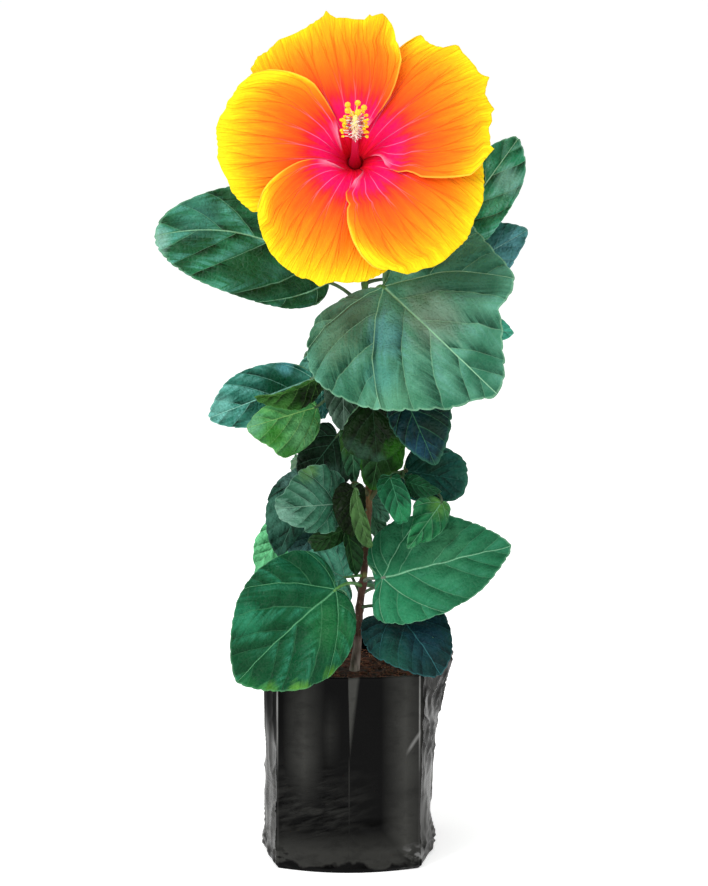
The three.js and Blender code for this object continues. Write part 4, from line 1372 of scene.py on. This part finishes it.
petal_back = petal_back_finish()
for name, petal in petals.items():
    piece = shaped_grid(name + "_skin", columns=140, rows=76, place=petal_skin(petal))
    piece.data.uv_layers[0].name = "petal"
    bpy.ops.object.shade_smooth()
    piece.data.materials.append(petal_finish(name + "_colours", petal))
    piece.data.materials.append(petal_back)
    thicken(piece, petal_thickness, second_finish=1)
    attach(piece, "root")
    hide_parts(name)

# Calyx
# A green cup with five pointed teeth that holds the petals, with a ring of narrow bracts under it.

cup = {"foot": -24, "floor": -5, "mouth": 2.6}
first_tooth = math.radians(67)
bract_count = 7
calyx_profile = [
    (cup["foot"], 2.2), (cup["foot"] + 1, 4.2), (cup["foot"] + 3, 5.4), (-16, 6.2), (-12, 7), (-7, 7.8),
    (-3, 8.4), (0, 9.1), (cup["mouth"], 9.8), (cup["mouth"] - 0.2, 9.0), (-1, 8.0), (cup["floor"], 6.4),
    (cup["floor"], 0),
]


def calyx_skin(across, up):
    steps = np.linspace(0, 1, len(calyx_profile))
    heights, radii = np.array(calyx_profile).T
    turn = first_tooth + 2 * np.pi * across
    height, radius = np.interp(up, steps, heights), np.interp(up, steps, radii)
    teeth = (1 - np.abs(np.sin(2.5 * (turn - first_tooth)))) ** 1.3 * 3.2 - 1.2
    ribs = 0.25 * np.cos(10 * (turn - first_tooth)) * climb(height, -22, 6)
    return bloom_points(radius + ribs, turn, height + teeth * climb(height, -8, 10))


def bloom_point(r, turn, height):
    return bloom_points(np.array([r]), np.array([turn]), np.array([height]))[0]


calyx = shaped_grid("calyx_cup", columns=120, rows=48, place=calyx_skin)
close_skin(calyx)
for number in range(bract_count):
    turn = 2 * math.pi * number / bract_count
    path = bezier_path([
        bloom_point(3.5, turn, cup["foot"] + 1), bloom_point(8, turn, cup["foot"] + 3),
        bloom_point(9.8, turn, cup["foot"] + 9), bloom_point(10.6, turn, cup["foot"] + 15),
    ])
    join(calyx, limb(f"bract_{number}", path, lambda t: 0.95 * (1 - t) ** 0.7 + 0.12, sides=8, rings=14))
calyx.data.materials.append(stalk_finish("calyx_green", "#5c9040", "#3c6e30"))
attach(calyx, "root")
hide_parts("calyx")

# Flower stalk
# The green stalk that carries the bloom, from the top of the stem, with its joint below the calyx.

calyx_foot = throat + outward * (cup["foot"] - 0.3)
stalk_ends = (
    Vector(stem_top) + Vector((0, 0, 0.4)), Vector((10, 8, 452)), calyx_foot - 16 * outward, calyx_foot,
)
flower_stalk = limb(
    "flower_stalk_green", bezier_path(stalk_ends),
    lambda t: 1.9 - 0.2 * t + 0.35 * near(t, 0.72, 0.02), sides=18, rings=60, rough=0.1,
)
flower_stalk.data.materials.append(stalk_finish("flower_stalk", "#4f8a3c", "#3a6a2e"))
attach(flower_stalk, "root")
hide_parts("flower_stalk")

# Staminal column
# A crimson shaft that curves up out of the throat and pales towards its tip. White threads stand out
# all round its upper part, with yellow anthers but underneath, and five styles with round pads end it.

thread_count = 104
first_thread = 0.68  # a share of the column's length, like the stretch
thread_stretch = 0.29
thread_turn = 2.4
style_count = 5
column_path = bezier_path([
    bloom_point(0, 0, cup["floor"] + 0.3), bloom_point(0, 0, 30), bloom_point(15, math.pi / 2, 50),
])


def column_radius(t):
    return 2.7 - 1.2 * t + 0.8 * near(t, 0.86, 0.08) + 3.6 * math.exp(-t / 0.15)


column = limb("column_shaft", column_path, column_radius, sides=20, rings=90, rough=0.12)
shaft_finish, shader, place = start_finish("column_crimson", 0.45)
shaft_colours = [
    (0, "#a80020"), (0.3, "#b80434"), (0.68, "#c8184a"), (0.76, "#fff2cc"), (0.95, "#fdf08c"),
]
along_axis = place.node(
    "ShaderNodeVectorMath", {0: place, 1: tuple(outward)}, "Value", operation="DOT_PRODUCT"
)
column_start = column_path[0] @ np.array(outward)
column_end = column_path[-1] @ np.array(outward)
along_axis.rises(column_start, column_end).ramp(shaft_colours).feed(shader, "Base Color")
place.grain(600, 3).raise_surface(shader, 0.0002)
column.data.materials.append(shaft_finish)

random.seed(9)
thread_shape = template(
    bpy.ops.mesh.primitive_cylinder_add, vertices=5, radius=1, depth=1, location=(0, 0, 0)
)
anther_shape = template(bpy.ops.mesh.primitive_ico_sphere_add, subdivisions=2, radius=1)


def column_frame(t):
    middle = on_path(column_path, t)
    way = (on_path(column_path, min(1, t + 0.02)) - on_path(column_path, t - 0.02)).normalized()
    side = (bloom_right - bloom_right.dot(way) * way).normalized()
    return middle, way, side, way.cross(side)


def bar(start, end, radius):
    """Where a thread stands: a straight thin bar between two points"""
    way = end - start
    turn = way.to_track_quat("Z", "X").to_matrix().to_4x4()
    size = Matrix.Diagonal((radius, radius, way.length, 1))
    return Matrix.Translation((start + end) / 2) @ turn @ size


threads = []
anthers = []
for number in range(thread_count):
    t = first_thread + thread_stretch * (number + 0.5) / thread_count
    turn = thread_turn * number
    middle, way, side, up = column_frame(t)
    out = side * math.cos(turn) + up * math.sin(turn)
    if math.sin(turn) < -0.3:
        end = middle + out * random.uniform(3.5, 5.5) + way * random.uniform(-1, 1)
        threads.append(bar(middle, end, 0.32))
        continue
    end = middle + out * random.uniform(6.2, 9.4) + way * random.uniform(-0.5, 2.0)
    threads.append(bar(middle, end, 0.3))
    spin = Matrix.Rotation(random.uniform(0, 3), 4, out)
    measures = [random.uniform(*limits) for limits in ((1.0, 1.4), (0.8, 1.1), (0.9, 1.3))]
    anthers.append(Matrix.Translation(end) @ spin @ Matrix.Diagonal((*measures, 1)))
styles = []
pads = []
for number in range(style_count):
    turn = 2 * math.pi * number / style_count
    middle, way, side, up = column_frame(1)
    end = middle + (side * math.cos(turn) + up * math.sin(turn)) * 6 + 2 * outward + 5 * bloom_up
    styles.append(bar(on_path(column_path, 0.97), end, 0.5))
    pads.append(Matrix.Translation(end) @ Matrix.Scale(2.1, 4))


def plain_finish(name, code, shade, scale):
    finish, shader, place = start_finish(name, 0.6)
    place.grain(scale, 2).level(0.4, 0.6).blend(code, shade).feed(shader, "Base Color")
    place.grain(1500, 2).raise_surface(shader, 0.0003)
    return finish


bloom_parts = [
    (scatter("filaments", thread_shape, threads), "#fffaf4", "#9a1c40", 420),
    (scatter("anthers", anther_shape, anthers), "#ffe818", "#ffc400", 700),
    (scatter("styles", thread_shape, styles), "#fff08a", "#f4dc50", 300),
    (scatter("stigma_pads", anther_shape, pads), "#ffb80c", "#ffde30", 900),
]
for piece, code, shade, scale in bloom_parts:
    for face in piece.data.polygons:
        face.use_smooth = True
    piece.data.materials.append(plain_finish(piece.name + "_finish", code, shade, scale))
    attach(piece, "root")
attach(column, "root")
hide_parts("staminal_column")
